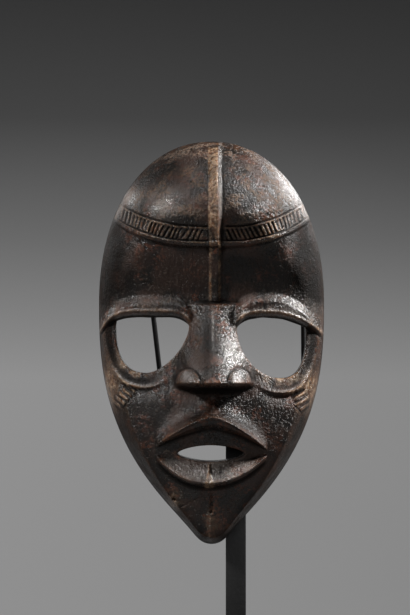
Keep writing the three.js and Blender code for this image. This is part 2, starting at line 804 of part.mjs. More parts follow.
const armBase = postTop + touchGap + crossDiameter + touchGap;

function armHead(arm) {
  return arm.side * (eggHalf(arm.top, rimWidth) - armDiameter / 2 - arm.inset);
}

// An arm climbs behind the rim from the cross rod.
function armRod(arm) {
  const from = new THREE.Vector3(arm.foot, behind, armBase);
  const to = new THREE.Vector3(armHead(arm), behind, arm.top);
  return rod(from, to, armDiameter, armSides);
}

// A pin on the arm's end reaches forward into the hollow and stays clear of its wall.
function pinRod(arm) {
  const x = armHead(arm);
  const z = arm.top - armDiameter;
  const back = behind - armDiameter / 2 - touchGap;
  const outerX = Math.abs(x) + armDiameter / 2;
  const room = hollowDepth(z, levelAt(outerX, z + armDiameter / 2, rimWidth)) - hollowTolerance - touchGap;
  const front = -Math.min(pinReach, room);
  return rod(new THREE.Vector3(x, back, z), new THREE.Vector3(x, front, z), armDiameter, armSides);
}

addPiece('mask', carvedMask(), wood).position.set(0, 0, chinAboveFloor);

const foot = new THREE.BoxGeometry(footWidth, footLength, footThickness);
addPiece('foot', foot, steel).position.set(postX, -footForward, footThickness / 2);

const postHeight = chinAboveFloor + postTop - footThickness - touchGap;
const post = new THREE.BoxGeometry(postSide, postSide, postHeight);
addPiece('post', post, steel).position.set(
  postX, touchGap + postSide / 2, footThickness + touchGap + postHeight / 2);

const crossZ = chinAboveFloor + postTop + touchGap + crossDiameter / 2;
const crossFrom = new THREE.Vector3(leftArm.foot - armDiameter / 2 - crossOverhang, behind, crossZ);
const crossTo = new THREE.Vector3(rightArm.foot + armDiameter / 2 + crossOverhang, behind, crossZ);
addPiece('cross_rod', rod(crossFrom, crossTo, crossDiameter, crossSides), steel);

addPiece('left_arm', armRod(leftArm), steel).position.z = chinAboveFloor;
addPiece('right_arm', armRod(rightArm), steel).position.z = chinAboveFloor;
addPiece('left_pin', pinRod(leftArm), steel).position.z = chinAboveFloor;
addPiece('right_pin', pinRod(rightArm), steel).position.z = chinAboveFloor;

// The whole is set so that the middle of the foot's underside is the origin.
stand.position.set(-postX, footForward, 0);

export default stand;
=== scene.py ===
import math
import bpy
import bmesh
import numpy as np
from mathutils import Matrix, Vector


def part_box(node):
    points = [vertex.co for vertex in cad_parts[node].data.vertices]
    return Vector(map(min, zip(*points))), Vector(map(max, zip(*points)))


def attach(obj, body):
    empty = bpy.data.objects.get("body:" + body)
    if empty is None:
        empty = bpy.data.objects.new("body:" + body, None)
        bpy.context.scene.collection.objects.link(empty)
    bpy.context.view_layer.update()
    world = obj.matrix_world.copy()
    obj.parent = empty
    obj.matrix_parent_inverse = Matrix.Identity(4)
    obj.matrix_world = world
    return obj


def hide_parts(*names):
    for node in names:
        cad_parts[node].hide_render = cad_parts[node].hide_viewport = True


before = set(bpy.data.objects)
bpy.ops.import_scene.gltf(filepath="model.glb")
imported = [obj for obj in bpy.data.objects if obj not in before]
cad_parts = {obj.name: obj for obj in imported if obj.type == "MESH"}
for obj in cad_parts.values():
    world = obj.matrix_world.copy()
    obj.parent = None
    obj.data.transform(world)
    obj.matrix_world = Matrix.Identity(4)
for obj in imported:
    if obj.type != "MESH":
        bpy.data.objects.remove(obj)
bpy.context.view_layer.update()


# The mask
# One block of dense wood, adzed hollow behind and carved in front with a knife, then blackened.
# The lengths in this section are millimetres, drawn from the chin point, with the rim's back at y = 0.

MM = 0.001
mask_low, mask_high = (Vector(corner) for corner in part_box("mask"))
mask_width = (mask_high.x - mask_low.x) / MM
mask_height = (mask_high.z - mask_low.z) / MM
mask_place = Vector(((mask_low.x + mask_high.x) / 2, mask_high.y, mask_low.z))

widest_height = 143
dome_power = 2.13
jaw_power = 2.6
jaw_fullness = 0.97
chin_radius = 12
chin_blend = 6
rim_width = 8
wall_depth = 10
chin_solid = 16
profile = np.array([
    (0, 25), (30, 35), (58, 45), (84, 44), (108, 38), (143, 35), (168, 41), (192, 47), (239.5, 46),
], float)
cheek_bow = 11
side_run = {"chin": 5.5, "cheek": 13, "dome": 46, "cheek_from": 105, "dome_over": 70}
side_round = {"chin": 1.25, "cheek": 1.9, "dome": 2}


def smooth(start, end, value):
    t = np.clip((value - start) / (end - start), 0, 1)
    return t * t * (3 - 2 * t)


def mix(a, b, t):
    return a + (b - a) * t


def power(value, exponent):
    return np.power(np.maximum(value, 0), exponent)


def centre_depth(z):
    """Smooth curve through the named points of the face's centre profile."""
    height, depth = profile.T
    last = len(profile) - 1
    i = np.clip(np.searchsorted(height, z, side="left") - 1, 0, last - 1)
    before = np.maximum(i - 1, 0)
    after = np.minimum(i + 2, last)
    za, fa, zb, fb = height[i], depth[i], height[i + 1], depth[i + 1]
    z0, f0, z1, f1 = height[before], depth[before], height[after], depth[after]
    span = zb - za
    t = np.clip((z - za) / span, 0, 1)
    slope_a = (fb - f0) / (zb - z0) * span
    slope_b = (f1 - fa) / (z1 - za) * span
    start = (2 * t**3 - 3 * t**2 + 1) * fa + (t**3 - 2 * t**2 + t) * slope_a
    return start + (3 * t**2 - 2 * t**3) * fb + (t**3 - t**2) * slope_b


def egg_half(z, inset):
    """Half width of the outline, or of the hollow's mouth inset from it."""
    half = mask_width / 2 - inset
    top = mask_height - inset
    low = chin_solid if inset > 0 else 0
    up = np.clip((z - widest_height) / (top - widest_height), 0, 1)
    dome = half * power(1 - up**dome_power, 1 / dome_power)
    down = np.clip((widest_height - z) / (widest_height - low), 0, 1)
    cone = half * power(1 - down**jaw_power, jaw_fullness)
    above = np.maximum(z - low, 0)
    jaw = np.sqrt(cone**2 + 2 * chin_radius * above * np.exp(-above / chin_blend))
    return np.where(z >= widest_height, dome, jaw)


def outline_point(angle, inset):
    """Point of the outline at an angle from the top, positive toward +X."""
    turn = np.abs(angle)
    half = mask_width / 2 - inset
    top = mask_height - inset
    low = chin_solid if inset > 0 else 0
    dome_x = half * power(np.sin(np.minimum(turn, math.pi / 2)), 2 / dome_power)
    dome_z = widest_height + (top - widest_height) * power(np.cos(turn), 2 / dome_power)
    jaw_z = widest_height - (widest_height - low) * np.sin(np.maximum(turn - math.pi / 2, 0))
    in_dome = turn <= math.pi / 2
    x = np.where(in_dome, dome_x, egg_half(jaw_z, inset))
    return np.sign(angle) * x, np.where(in_dome, dome_z, jaw_z)


def side_rise(z, inward):
    """Rounding of the side wall: 0 at the outline, 1 where the face proper begins."""
    low = smooth(0, side_run["cheek_from"], z)
    high = smooth(widest_height, widest_height + side_run["dome_over"], z)
    run = mix(mix(side_run["chin"], side_run["cheek"], low), side_run["dome"], high)
    round_ = mix(mix(side_round["chin"], side_round["cheek"], low), side_round["dome"], high)
    away = 1 - np.minimum(1, inward / run)
    return power(1 - away**round_, 1 / round_)


def mid_x(z):
    """The carved midline wanders from right at the forehead to left at the chin."""
    return 0.9 + 2.1 * np.tanh((z - 88) / 22)


# Lattice noise, the same on every run, for grain, dents and crumbs.
def lattice(ix, iy, iz, seed):
    h = (ix * 374761393 + iy * 668265263 + iz * 2147483647 + seed * 1274126177) & 0xFFFFFFFF
    h = ((h ^ (h >> 13)) * 1103515245) & 0xFFFFFFFF
    h = ((h ^ (h >> 16)) * 2246822519) & 0xFFFFFFFF
    return ((h ^ (h >> 15)) & 0xFFFFFF) / 0x7FFFFF - 1


def noise(x, y, z, size, seed):
    x, y, z = x / size, y / size, z / size
    ix, iy, iz = (np.floor(v).astype(np.int64) for v in (x, y, z))
    fx, fy, fz = (v - i for v, i in ((x, ix), (y, iy), (z, iz)))
    fx, fy, fz = (f * f * (3 - 2 * f) for f in (fx, fy, fz))
    total = 0
    for dx in (0, 1):
        for dy in (0, 1):
            for dz in (0, 1):
                share = (fx if dx else 1 - fx) * (fy if dy else 1 - fy) * (fz if dz else 1 - fz)
                total = total + share * lattice(ix + dx, iy + dy, iz + dz, seed)
    return total


# Lids stand over the eye openings as two visors. Outer reach is toward the side of the face.
lids = {
    -1: {"x": -32, "z": 138.4, "inner_reach": 18.9, "inner_drop": 5, "inner_power": 4,
         "outer_reach": 33.5, "outer_drop": 10.7, "outer_power": 5, "thick": 7, "proud": 5},
    1: {"x": 34, "z": 138, "inner_reach": 18.8, "inner_drop": 4.8, "inner_power": 4,
        "outer_reach": 30.6, "outer_drop": 11.6, "outer_power": 1.92, "thick": 8.9, "proud": 5},
}
lid_underside = 3.4
lid_soft = 1.5
lid_round = 3.4
lid_taper = 0.85
lid_fade = 2.5
lid_bead = {"rise": 0.7, "above": 0.7, "half": 0.8}
eyes = {
    -1: {"x": -38, "z": 130, "inner": 24.8, "outer": 18.5, "depth": 27.7,
         "inner_power": 1.6, "outer_power": 2.5},
    1: {"x": 40, "z": 128, "inner": 25.3, "outer": 15.6, "depth": 28.8,
        "inner_power": 1.8, "outer_power": 2.6},
}
socket = {"width": 8, "rise": 2.6, "fall": 2.4, "floor": 0.1, "steepness": 4, "cut": 2.5, "cut_run": 10,
          "nose_end": 22, "cheek_start": 42}


def bowl_reach(x, z, side):
    """Signed reach of a point from an eye opening's bowl, positive outside it."""
    eye = eyes[side]
    across = (x - eye["x"]) * side
    down = eye["z"] - z
    inner = across < 0
    half = np.where(inner, eye["inner"], eye["outer"])
    n = np.where(inner, eye["inner_power"], eye["outer_power"])
    level = power(power(np.abs(across) / half, n) + power(down / eye["depth"], n), 1 / n)
    return np.hypot(across, down) * (1 - 1 / np.maximum(level, 1e-3))


def lid_edge(x, side):
    lid = lids[side]
    outward = (x - lid["x"]) * side
    outer = lid["z"] - lid["outer_drop"] * power(outward / lid["outer_reach"], lid["outer_power"])
    inner = lid["z"] - lid["inner_drop"] * power(-outward / lid["inner_reach"], lid["inner_power"])
    return np.where(outward > 0, outer, inner)


def lid_presence(x, side):
    lid = lids[side]
    outward = (x - lid["x"]) * side
    inner = smooth(-lid["inner_reach"] - lid_fade, -lid["inner_reach"] + lid_fade, outward)
    return inner * (1 - smooth(lid["outer_reach"] - lid_fade / 2, lid["outer_reach"] + 2 * lid_fade, outward))


def lid_top(x, side):
    lid = lids[side]
    outward = np.clip((x - lid["x"]) * side / lid["outer_reach"], 0, 1)
    return lid_edge(x, side) + lid["thick"] * (1 - lid_taper * outward**3)


def eye_relief(x, z, side):
    edge = lid_edge(x, side)
    top = lid_top(x, side)
    lower = smooth(edge - lid_underside, edge, z)
    below_top = 1 - smooth(top - lid_round, top + lid_round, z)
    visor = lids[side]["proud"] * lid_presence(x, side) * below_top * lower
    bead = lid_bead["rise"] * np.exp(-((z - edge - lid_bead["above"]) / lid_bead["half"]) ** 2)
    bead = bead * lid_presence(x, side)
    reach = bowl_reach(x, z, side)
    share = np.clip(reach / socket["width"], 0, 1)
    saucer = mix(socket["floor"], 1, share ** socket["steepness"])
    outside = 1 - smooth(socket["width"], socket["width"] + socket["fall"], reach)
    brow = edge - lid_underside
    cheek = smooth(socket["nose_end"], socket["cheek_start"], np.abs(x))
    ring = socket["rise"] * saucer * outside * (1 - smooth(brow - lid_soft, brow, z)) * cheek
    near = 1 - smooth(socket["width"], socket["width"] + socket["cut_run"], reach)
    return visor + bead + ring - socket["cut"] * (1 - lower) * near * lid_presence(x, side) * cheek


# The dome overhangs the brow in a ledge, with a hatched band above it.
band = {"z": 177, "rise": 15.5, "reach": 58, "power": 2.8, "height": 11, "spread": 1.6,
        "ledge": 2.6, "ledge_run": 1.8, "groove_in": 3.2, "dip": 0.9, "dip_run": 2.6,
        "swell": 1.6, "swell_run": 6.8}
hatch = {"pitch": 3.2, "crowding": 0.0022, "slant": 0.5, "depth": 1.25, "first": 6.5, "last": 60}


def band_edge(x):
    return band["z"] + band["rise"] * power(np.abs(x) / band["reach"], band["power"])


def band_top(x):
    return band_edge(x) + band["height"] + band["spread"] * (x / band["reach"]) ** 2


def groove(distance, half, depth):
    """A knife cut of V section."""
    return -depth * np.maximum(0, 1 - np.abs(distance) / half)


def dome_relief(x, z):
    edge = band_edge(x)
    top = band_top(x)
    ledge = smooth(edge - band["ledge_run"], edge, z)
    swell = smooth(top, top + band["swell_run"], z)
    dip_start = smooth(edge + band["groove_in"] / 2, edge + band["groove_in"], z)
    dip = dip_start * (1 - smooth(top - band["dip_run"], top, z))
    form = band["ledge"] * ledge + band["swell"] * swell - band["dip"] * dip
    wobble = 0.4 * noise(x, 0 * x, z, 9, 3)
    cuts = groove(z - top - wobble, 1.0, 1.3) + groove(z - edge - 2.4 - wobble, 0.9, 0.9)
    height = (z - edge) / (top - edge)
    lean = hatch["slant"] * (1 - 0.6 * smooth(20, 55, np.abs(x)))
    across = np.abs(x) + lean * (height - 0.6) * band["height"] - hatch["first"]
    count = across / hatch["pitch"] + hatch["crowding"] * across**2 + 0.3 * noise(x, 0 * x, 0 * x, 6, 4)
    pitch = 1 / (1 / hatch["pitch"] + 2 * hatch["crowding"] * np.maximum(across, 0))
    stroke = np.abs(count - np.round(count)) * pitch
    inside = (across > -1) & (across < hatch["last"] - hatch["first"])
    ragged = 0.8 * noise(np.round(count), 0 * x, 0 * x, 0.9, 8)
    rows = smooth(edge + 2.6, edge + 4, z + ragged) * (1 - smooth(top - 2, top - 0.8, z + ragged))
    uneven = 0.75 + 0.5 * noise(np.round(count), 0 * x, 0 * x, 0.7, 5)
    cuts = cuts + inside * rows * uneven * groove(stroke, 0.85, hatch["depth"])
    present = smooth(3.5, 6.5, np.abs(x - mid_x(z)))
    return form + cuts * present


# Keel down the forehead
keel = {"bottom": 143, "start": 2, "height": 6, "low": 2.6, "left": 5.4, "right": 2.8, "offset": 0.4,
        "grow_from": 18, "fade": 26}


def keel_relief(x, z):
    across = x - mid_x(z) - keel["offset"] - 0.35 * noise(0 * z, 0 * z, z, 12, 6)
    wide = np.where(across < 0, keel["left"], keel["right"])
    strength = smooth(keel["bottom"], keel["bottom"] + keel["start"], z)
    grow_from = keel["bottom"] + keel["grow_from"]
    height = mix(keel["low"], keel["height"], smooth(grow_from, grow_from + keel["fade"], z))
    ridge = np.maximum(0, 1 - np.abs(across) / wide)
    worn = ridge - 0.5 * power(ridge - 0.88, 1)
    return strength * height * worn


# Nose with its wings
nose = {"top": 143, "start": 1.1, "bottom": 97.2, "top_half": 19.5, "wing_half": 24, "top_rise": 5.5,
        "tip_rise": 27, "top_section": 1.5, "tip_section": 2.3, "skirt": 1.25, "growth": 1.15,
        "under": 4.4, "under_fullness": 6}
nose_bulbs = {
    "tip": {"x": 1.2, "lift": 2.4, "radius": 8, "rise": 1.6, "squash": 1},
    "left_wing": {"x": -13.8, "lift": 0, "radius": 7.2, "rise": 5, "squash": 0.92},
    "right_wing": {"x": 16, "lift": 0, "radius": 7.2, "rise": 5, "squash": 0.92},
}
bulb_sink = 2.5


def nose_relief(x, z):
    down = np.maximum(0, (nose["top"] - z) / (nose["top"] - nose["bottom"]))
    half = mix(nose["top_half"], nose["wing_half"], np.minimum(down, 1) ** 2)
    across = np.minimum(1, np.abs(x - mid_x(z)) / half)
    fullness = mix(nose["top_section"], nose["tip_section"], np.minimum(down, 1))
    section = (1 - across**fullness) ** nose["skirt"]
    rise = mix(nose["top_rise"], nose["tip_rise"], np.minimum(down, 1) ** nose["growth"])
    start = 1 - smooth(nose["top"] - nose["start"], nose["top"] + nose["start"], z)
    depth = nose["under"] * np.sqrt(1 - across ** nose["under_fullness"]) + nose["start"]
    body = rise * section * start * smooth(nose["bottom"] - depth, nose["bottom"], z)
    above = smooth(nose["bottom"] - bulb_sink, nose["bottom"], z)
    swell = 0 * x
    arcs = 0 * x
    for name, bulb in nose_bulbs.items():
        up = (z - nose["bottom"] - bulb["lift"]) * bulb["squash"]
        near = np.hypot(x - bulb["x"], up) / bulb["radius"]
        swell = np.maximum(swell, bulb["rise"] * above * np.sqrt(np.maximum(0, 1 - near**2)))
        if name != "tip":
            arcs = arcs + groove((near - 1.04) * bulb["radius"], 0.9, 0.8) * smooth(0.5, 2, z - nose["bottom"])
    return body + swell + arcs


# Mouth, chin and the groove above the lip
mouth = {"x": -0.6, "z": 55.4, "half": 19.3, "up": 5.2, "down": 4.6, "power": 1.75,
         "corner": 32.5, "corner_round": 0.6}
upper_lip = {"x": 0.5, "z": 77.3, "reach": 31, "left_drop": 15.5, "right_drop": 18.6, "power": 1.5,
             "rise": 12, "above": 16, "flare": 4.2, "rim": 0.2, "shelf": 0.22, "shelf_end": 0.5,
             "rim_start": 0.82}
lower_lip = {"x": -2.5, "z": 38.7, "left_reach": 28, "right_reach": 32, "lift": 13.5, "power": 2.2,
             "rise": 13, "under": 3.8, "fullness": 0.9}
lip_ridge = {"x": -1.5, "half": 1, "spread": 3, "flare": 2.2, "rise": 1.8, "from": 3.5, "to": 7, "fade": 2.5}
muzzle = {"z": 58, "width": 34, "height": 38, "rise": 5}
chin_ridge = {"x": -0.4, "half": 3, "rise": 1.2, "top": 22, "fade": 4}
philtrum = {"x": 0.3, "half": 2.2, "depth": 1.2, "bottom": 80, "top": 89, "fade": 3}


def upper_lip_edge(x):
    across = (x - upper_lip["x"]) / upper_lip["reach"]
    drop = np.where(across < 0, upper_lip["left_drop"], upper_lip["right_drop"])
    return upper_lip["z"] - drop * np.abs(across) ** upper_lip["power"]


def lower_lip_edge(x):
    reach = np.where(x < lower_lip["x"], lower_lip["left_reach"], lower_lip["right_reach"])
    return lower_lip["z"] + lower_lip["lift"] * np.abs((x - lower_lip["x"]) / reach) ** lower_lip["power"]


def mouth_level(x, z):
    across = np.abs(x - mouth["x"]) / mouth["half"]
    up = np.abs(z - mouth["z"]) / np.where(z > mouth["z"], mouth["up"], mouth["down"])
    return (across ** mouth["power"] + up ** mouth["power"]) ** (1 / mouth["power"])


def upper_lip_share(x, z, hole_top):
    """The lip flares to its crest, has a narrow rim below it and is hollowed back to the opening."""
    crest = upper_lip_edge(x)
    above = power(1 - (z - crest) / upper_lip["above"], upper_lip["flare"])
    t = np.maximum(0, (z - hole_top) / np.maximum(1, crest - hole_top))
    hollow = 1 - upper_lip["rim"] - upper_lip["shelf"]
    below = upper_lip["shelf"] * t + hollow * smooth(upper_lip["shelf_end"], upper_lip["rim_start"], t)
    below = below + upper_lip["rim"] * smooth(upper_lip["rim_start"], 1, t)
    return np.where(z >= crest, above, below)


def lower_lip_share(x, z, hole_bottom):
    edge = lower_lip_edge(x)
    t = np.clip((hole_bottom - z) / np.maximum(1, hole_bottom - edge), 0, 1)
    return smooth(edge - lower_lip["under"], edge, z) * t ** lower_lip["fullness"]


def mouth_relief(x, z):
    across = np.minimum(1, np.abs(x) / mouth["corner"])
    corner = power(1 - across**2, mouth["corner_round"])
    open_ = np.sqrt(1 - across**2)
    upper = upper_lip["rise"] * upper_lip_share(x, z, mouth["z"] + mouth["up"] * open_)
    lower = lower_lip["rise"] * lower_lip_share(x, z, mouth["z"] - mouth["down"] * open_)
    bottom = lower_lip_edge(lip_ridge["x"])
    top = mouth["z"] - lip_ridge["to"] + lip_ridge["fade"]
    along = smooth(bottom - lip_ridge["from"], bottom, z) * (1 - smooth(top - lip_ridge["fade"], top, z))
    low = np.maximum(0, 1 - np.maximum(0, z - bottom) / (top - bottom))
    half = lip_ridge["half"] + lip_ridge["spread"] * low ** lip_ridge["flare"]
    ridge = lip_ridge["rise"] * along * np.maximum(0, 1 - np.abs(x - lip_ridge["x"]) / half)
    return corner * np.where(z > mouth["z"], upper, lower) + ridge


def soft_relief(x, z):
    away = np.hypot(x / muzzle["width"], (z - muzzle["z"]) / muzzle["height"])
    swell = muzzle["rise"] * power(1 - away**2, 2)
    low = 1 - smooth(chin_ridge["top"] - chin_ridge["fade"], chin_ridge["top"], z)
    ridge = chin_ridge["rise"] * low * np.maximum(0, 1 - np.abs(x - chin_ridge["x"]) / chin_ridge["half"])
    dent = smooth(philtrum["bottom"] - philtrum["fade"], philtrum["bottom"], z)
    dent = dent * (1 - smooth(philtrum["top"] - philtrum["fade"], philtrum["top"], z))
    cut = philtrum["depth"] * dent * np.maximum(0, 1 - np.abs(x - philtrum["x"]) / philtrum["half"])
    return swell + ridge - cut


# Cheek scars: short ribs that step down and outward from below each socket's ridge.
scar_width = 1.9
scar_rise = 1.1
scars = [
    {"x": -47.4, "z": 93.3, "step_x": -2.1, "step_z": -2.3, "count": 5, "length": 7.5, "slope": -0.72},
    {"x": 50.3, "z": 93, "step_x": 1.7, "step_z": -3.4, "count": 4, "length": 9, "slope": 0.58},
]


def scar_relief(x, z):
    total = 0 * x
    for block in scars:
        steep = math.hypot(1, block["slope"])
        reach = block["length"] / 2 / steep
        for i in range(block["count"]):
            dx = x - block["x"] - i * block["step_x"]
            dz = z - block["z"] - i * block["step_z"]
            off = np.abs(dz - block["slope"] * dx) / steep / (scar_width / 2)
            end = 1 - smooth(reach - 1, reach, np.abs(dx))
            total = np.maximum(total, scar_rise * end * np.sqrt(np.maximum(0, 1 - off**2)))
    return total


# Single marks of the knife, of use and of insects: a line from one place to another.
def scratch(x, z, start, end, half, depth):
    (x0, z0), (x1, z1) = start, end
    run = math.hypot(x1 - x0, z1 - z0)
    along = ((x - x0) * (x1 - x0) + (z - z0) * (z1 - z0)) / run
    off = ((x - x0) * (z1 - z0) - (z - z0) * (x1 - x0)) / run
    taper = smooth(0, 1.5, along) * (1 - smooth(run - 1.5, run, along))
    return taper * groove(off, half, depth)


def pit(x, z, at_x, at_z, radius, depth):
    return -depth * smooth(0, 1, 1.3 * (1 - np.hypot(x - at_x, z - at_z) / radius))


def marks_relief(x, z):
    cuts = scratch(x, z, (45.6, 87.5), (55, 92.9), 1.1, 1.3)
    cuts = cuts + scratch(x, z, (47.3, 84.6), (55.7, 87.6), 0.9, 1.0)
    cuts = cuts + scratch(x, z, (46.8, 84.9), (53.6, 78), 0.6, 0.6)
    cuts = cuts + scratch(x, z, (-43.5, 91.3), (-52.5, 81.5), 0.6, 0.6)
    cuts = cuts + scratch(x, z, (-0.4, 32.5), (-0.2, 19), 1.3, 1.0)
    cuts = cuts + scratch(x, z, (-4, 31.5), (-22, 21.5), 0.7, 0.4)
    crescent = np.hypot(x + 38.6, (z - 150.5) * 1.1)
    cuts = cuts + groove(crescent - 5.6, 0.6, 0.7) * smooth(153.3, 154.6, z)
    cuts = cuts + pit(x, z, -22.3, 28.4, 1.7, 2.2) + pit(x, z, -21.6, 22.6, 1.4, 1.8)
    for at_x, at_z, radius in ((-25.1, 31.3, 0.7), (13, 228, 0.9), (20, 221, 0.7), (-12, 214, 0.8),
                               (30, 212, 0.8)):
        cuts = cuts + pit(x, z, at_x, at_z, radius, 0.9)
    cuts = cuts + scratch(x, z, (11.6, 228.5), (14, 240), 1.2, 1.2)
    return cuts + scratch(x, z, (14, 231), (22, 225), 0.8, 0.7)


def opening_distance(x, z):
    """Distance outside the nearest of the three openings, along the face."""
    nearest = (mouth_level(x, z) - 1) * 6
    for side in (-1, 1):
        over = z - (lid_edge(x, side) - lid_underside)
        gap = np.maximum(bowl_reach(x, z, side), over)
        nearest = np.where(x * side > 0, np.minimum(nearest, gap), nearest)
    return nearest


edge_roll = {"face": 1.1, "hollow": 1.4}


def roll(distance, radius):
    """Drop of a worn edge that rounds over into an opening."""
    t = np.clip(distance / radius, 0, 1)
    return radius * (1 - np.sqrt(1 - (1 - t) ** 2))


def surface_marks(x, z):
    """Knife facets, dents, grain and crumbs, in millimetres."""
    facets = 0.28 * noise(x, 0 * x, z * 0.6, 9, 11) + 0.09 * noise(x, 0 * x, z * 0.8, 4, 12)
    grain = 0.10 * noise(x, 0 * x, z * 0.12, 1.4, 13)
    dents = -0.5 * power(noise(x, 0 * x, z, 5.5, 14) - 0.55, 1)
    crumbs = 0.06 * noise(x, 0 * x, z, 1.5, 15) + 0.04 * noise(x, 0 * x, z, 0.8, 16)
    return facets + grain + dents + crumbs


def form_depth(x, z, inward):
    plane = centre_depth(z) - cheek_bow * (x / (mask_width / 2)) ** 2
    eye = np.where(x < 0, eye_relief(x, z, -1), eye_relief(x, z, 1))
    carved = dome_relief(x, z) + eye + mouth_relief(x, z) + soft_relief(x, z)
    carved = carved + scar_relief(x, z) + marks_relief(x, z)
    proud = np.maximum(keel_relief(x, z), nose_relief(x, z))
    rise = side_rise(z, inward)
    return (plane + carved) * rise + proud * np.minimum(1, rise * 1.2)


def face_depth(x, z, inward):
    marks = surface_marks(x, z) * np.minimum(1, side_rise(z, inward) * 1.5)
    return form_depth(x, z, inward) + marks - roll(opening_distance(x, z), edge_roll["face"])


def hollow_depth(x, z, level):
    room = power(1 - level**3, 0.6)
    adze = 0.9 * noise(x, 0 * x, z * 0.7, 11, 21) + 0.3 * noise(x, 0 * x, z, 3, 22)
    base = np.maximum(0, centre_depth(z) - wall_depth) * room
    return base + adze * np.minimum(1, room * 1.5) - roll(opening_distance(x, z), edge_roll["hollow"])


def sheet(across, along, inset, depth_at):
    """A grid of points over the egg shape, and the ring of its edge in order."""
    u, v = np.meshgrid(np.linspace(-1, 1, across + 1), np.linspace(-1, 1, along + 1), indexing="ij")
    p = u * np.sqrt(1 - v * v / 2)
    q = v * np.sqrt(1 - u * u / 2)
    s = np.minimum(1, np.hypot(p, q))
    edge_x, edge_z = outline_point(np.arctan2(p, q), inset)
    level = np.sin(s * math.pi / 2)
    x = edge_x * level
    z = widest_height + (edge_z - widest_height) * level
    inward = (1 - level) * np.hypot(edge_x, edge_z - widest_height)
    y = -depth_at(x, z, level, inward)
    points = np.stack([x, y, z], axis=-1).reshape(-1, 3)
    index = np.arange((across + 1) * (along + 1)).reshape(across + 1, along + 1)
    quads = np.stack([index[:-1, :-1], index[1:, :-1], index[1:, 1:], index[:-1, 1:]], axis=-1)
    ring = np.concatenate([index[:-1, 0], index[-1, :-1], index[:0:-1, -1], index[0, :0:-1]])
    return points, quads.reshape(-1, 4), ring


fineness = 1
grid_across = 4 * int(130 * fineness)
grid_along = 4 * int(190 * fineness)
back_ratio = 4


def front_sheet():
    return sheet(grid_across, grid_along, 0, lambda x, z, level, inward: face_depth(x, z, inward))


def back_sheet():
    return sheet(grid_across // back_ratio, grid_along // back_ratio, rim_width,
                 lambda x, z, level, inward: hollow_depth(x, z, level))


def mask_mesh():
    front, front_quads, front_ring = front_sheet()
    back, back_quads, back_ring = back_sheet()
    points = np.concatenate([front, back])
    shift = len(front)
    faces = [front_quads, back_quads[:, ::-1] + shift]
    inner = np.repeat(back_ring + shift, back_ratio)
    rim = np.stack([front_ring, inner, np.roll(inner, -1), np.roll(front_ring, -1)], axis=-1)[:, ::-1]
    rim_faces = [list(dict.fromkeys(face)) for face in rim.tolist()]
    mesh = bpy.data.meshes.new("mask_carving")
    all_faces = np.concatenate(faces).tolist() + rim_faces
    mesh.from_pydata((points * MM + np.array(mask_place)).tolist(), [], all_faces)
    return mesh


mask = bpy.data.objects.new("carved_mask", mask_mesh())
bpy.context.collection.objects.link(mask)


# How far the cutters reach behind the rim and before it.
cut_back, cut_front, cut_rings = 12, 90, 46


def wall_cutter(outline, name):
    """A prism through the whole wall, its sides cut into short faces for a fine finish."""
    depths = np.linspace(cut_back, -cut_front, cut_rings)
    x, z = np.array(outline).T
    points = np.stack([np.stack([x, np.full_like(x, y), z], axis=-1) for y in depths])
    count = len(outline)
    faces = [list(range(count))[::-1], [len(depths) * count - count + i for i in range(count)]]
    for ring in range(len(depths) - 1):
        for i in range(count):
            j = (i + 1) % count
            low, high = ring * count, (ring + 1) * count
            faces.append([low + i, low + j, high + j, high + i])
    mesh = bpy.data.meshes.new(name)
    mesh.from_pydata((points.reshape(-1, 3) * MM + np.array(mask_place)).tolist(), [], faces)
    ready = bmesh.new()
    ready.from_mesh(mesh)
    bmesh.ops.recalc_face_normals(ready, faces=ready.faces)
    ready.to_mesh(mesh)
    ready.free()
    cutter = bpy.data.objects.new(name, mesh)
    bpy.context.collection.objects.link(cutter)
    return cutter


def eye_outline(side):
    eye = eyes[side]
    turn = np.linspace(0, math.pi, 110)
    across = np.cos(turn)
    half = np.where(across < 0, eye["inner"], eye["outer"])
    n = np.where(across < 0, eye["inner_power"], eye["outer_power"])
    x = eye["x"] + side * np.sign(across) * half * np.abs(across) ** (2 / n)
    z = eye["z"] - eye["depth"] * np.sin(turn) ** (2 / n)
    top_x = eye["x"] + side * np.linspace(-eye["inner"] + 0.4, eye["outer"] - 0.4, 60)
    top_z = lid_edge(top_x, side) - lid_underside + 0.25 * noise(top_x, 0 * top_x, 0 * top_x, 6, 31)
    return list(zip(np.append(x, top_x), np.append(z, top_z)))


def mouth_outline():
    turn = np.linspace(0, 2 * math.pi, 121)[:-1]
    x, z = np.cos(turn), np.sin(turn)
    reach = np.where(z > 0, mouth["up"], mouth["down"])
    x = mouth["x"] + mouth["half"] * np.sign(x) * np.abs(x) ** (2 / mouth["power"])
    return list(zip(x, mouth["z"] + reach * np.sign(z) * np.abs(z) ** (2 / mouth["power"])))


cutters = [
    wall_cutter(eye_outline(-1), "left_eye_cutter"),
    wall_cutter(eye_outline(1), "right_eye_cutter"),
    wall_cutter(mouth_outline(), "mouth_cutter"),
]
for cutter in cutters:
    cut = mask.modifiers.new("cut", "BOOLEAN")
    cut.operation = "DIFFERENCE"
    cut.solver = "EXACT"
    cut.object = cutter

mask_triangles = 190000
evaluated = mask.evaluated_get(bpy.context.evaluated_depsgraph_get())
cut_faces = sum(len(face.vertices) - 2 for face in evaluated.data.polygons)
thin = mask.modifiers.new("thin", "DECIMATE")
thin.ratio = min(1, mask_triangles / cut_faces)
thin.use_collapse_triangulate = True
finished = bpy.data.meshes.new_from_object(mask.evaluated_get(bpy.context.evaluated_depsgraph_get()))
mask.modifiers.clear()
mask.data = finished
for cutter in cutters:
    bpy.data.objects.remove(cutter)
mask.data.shade_smooth()

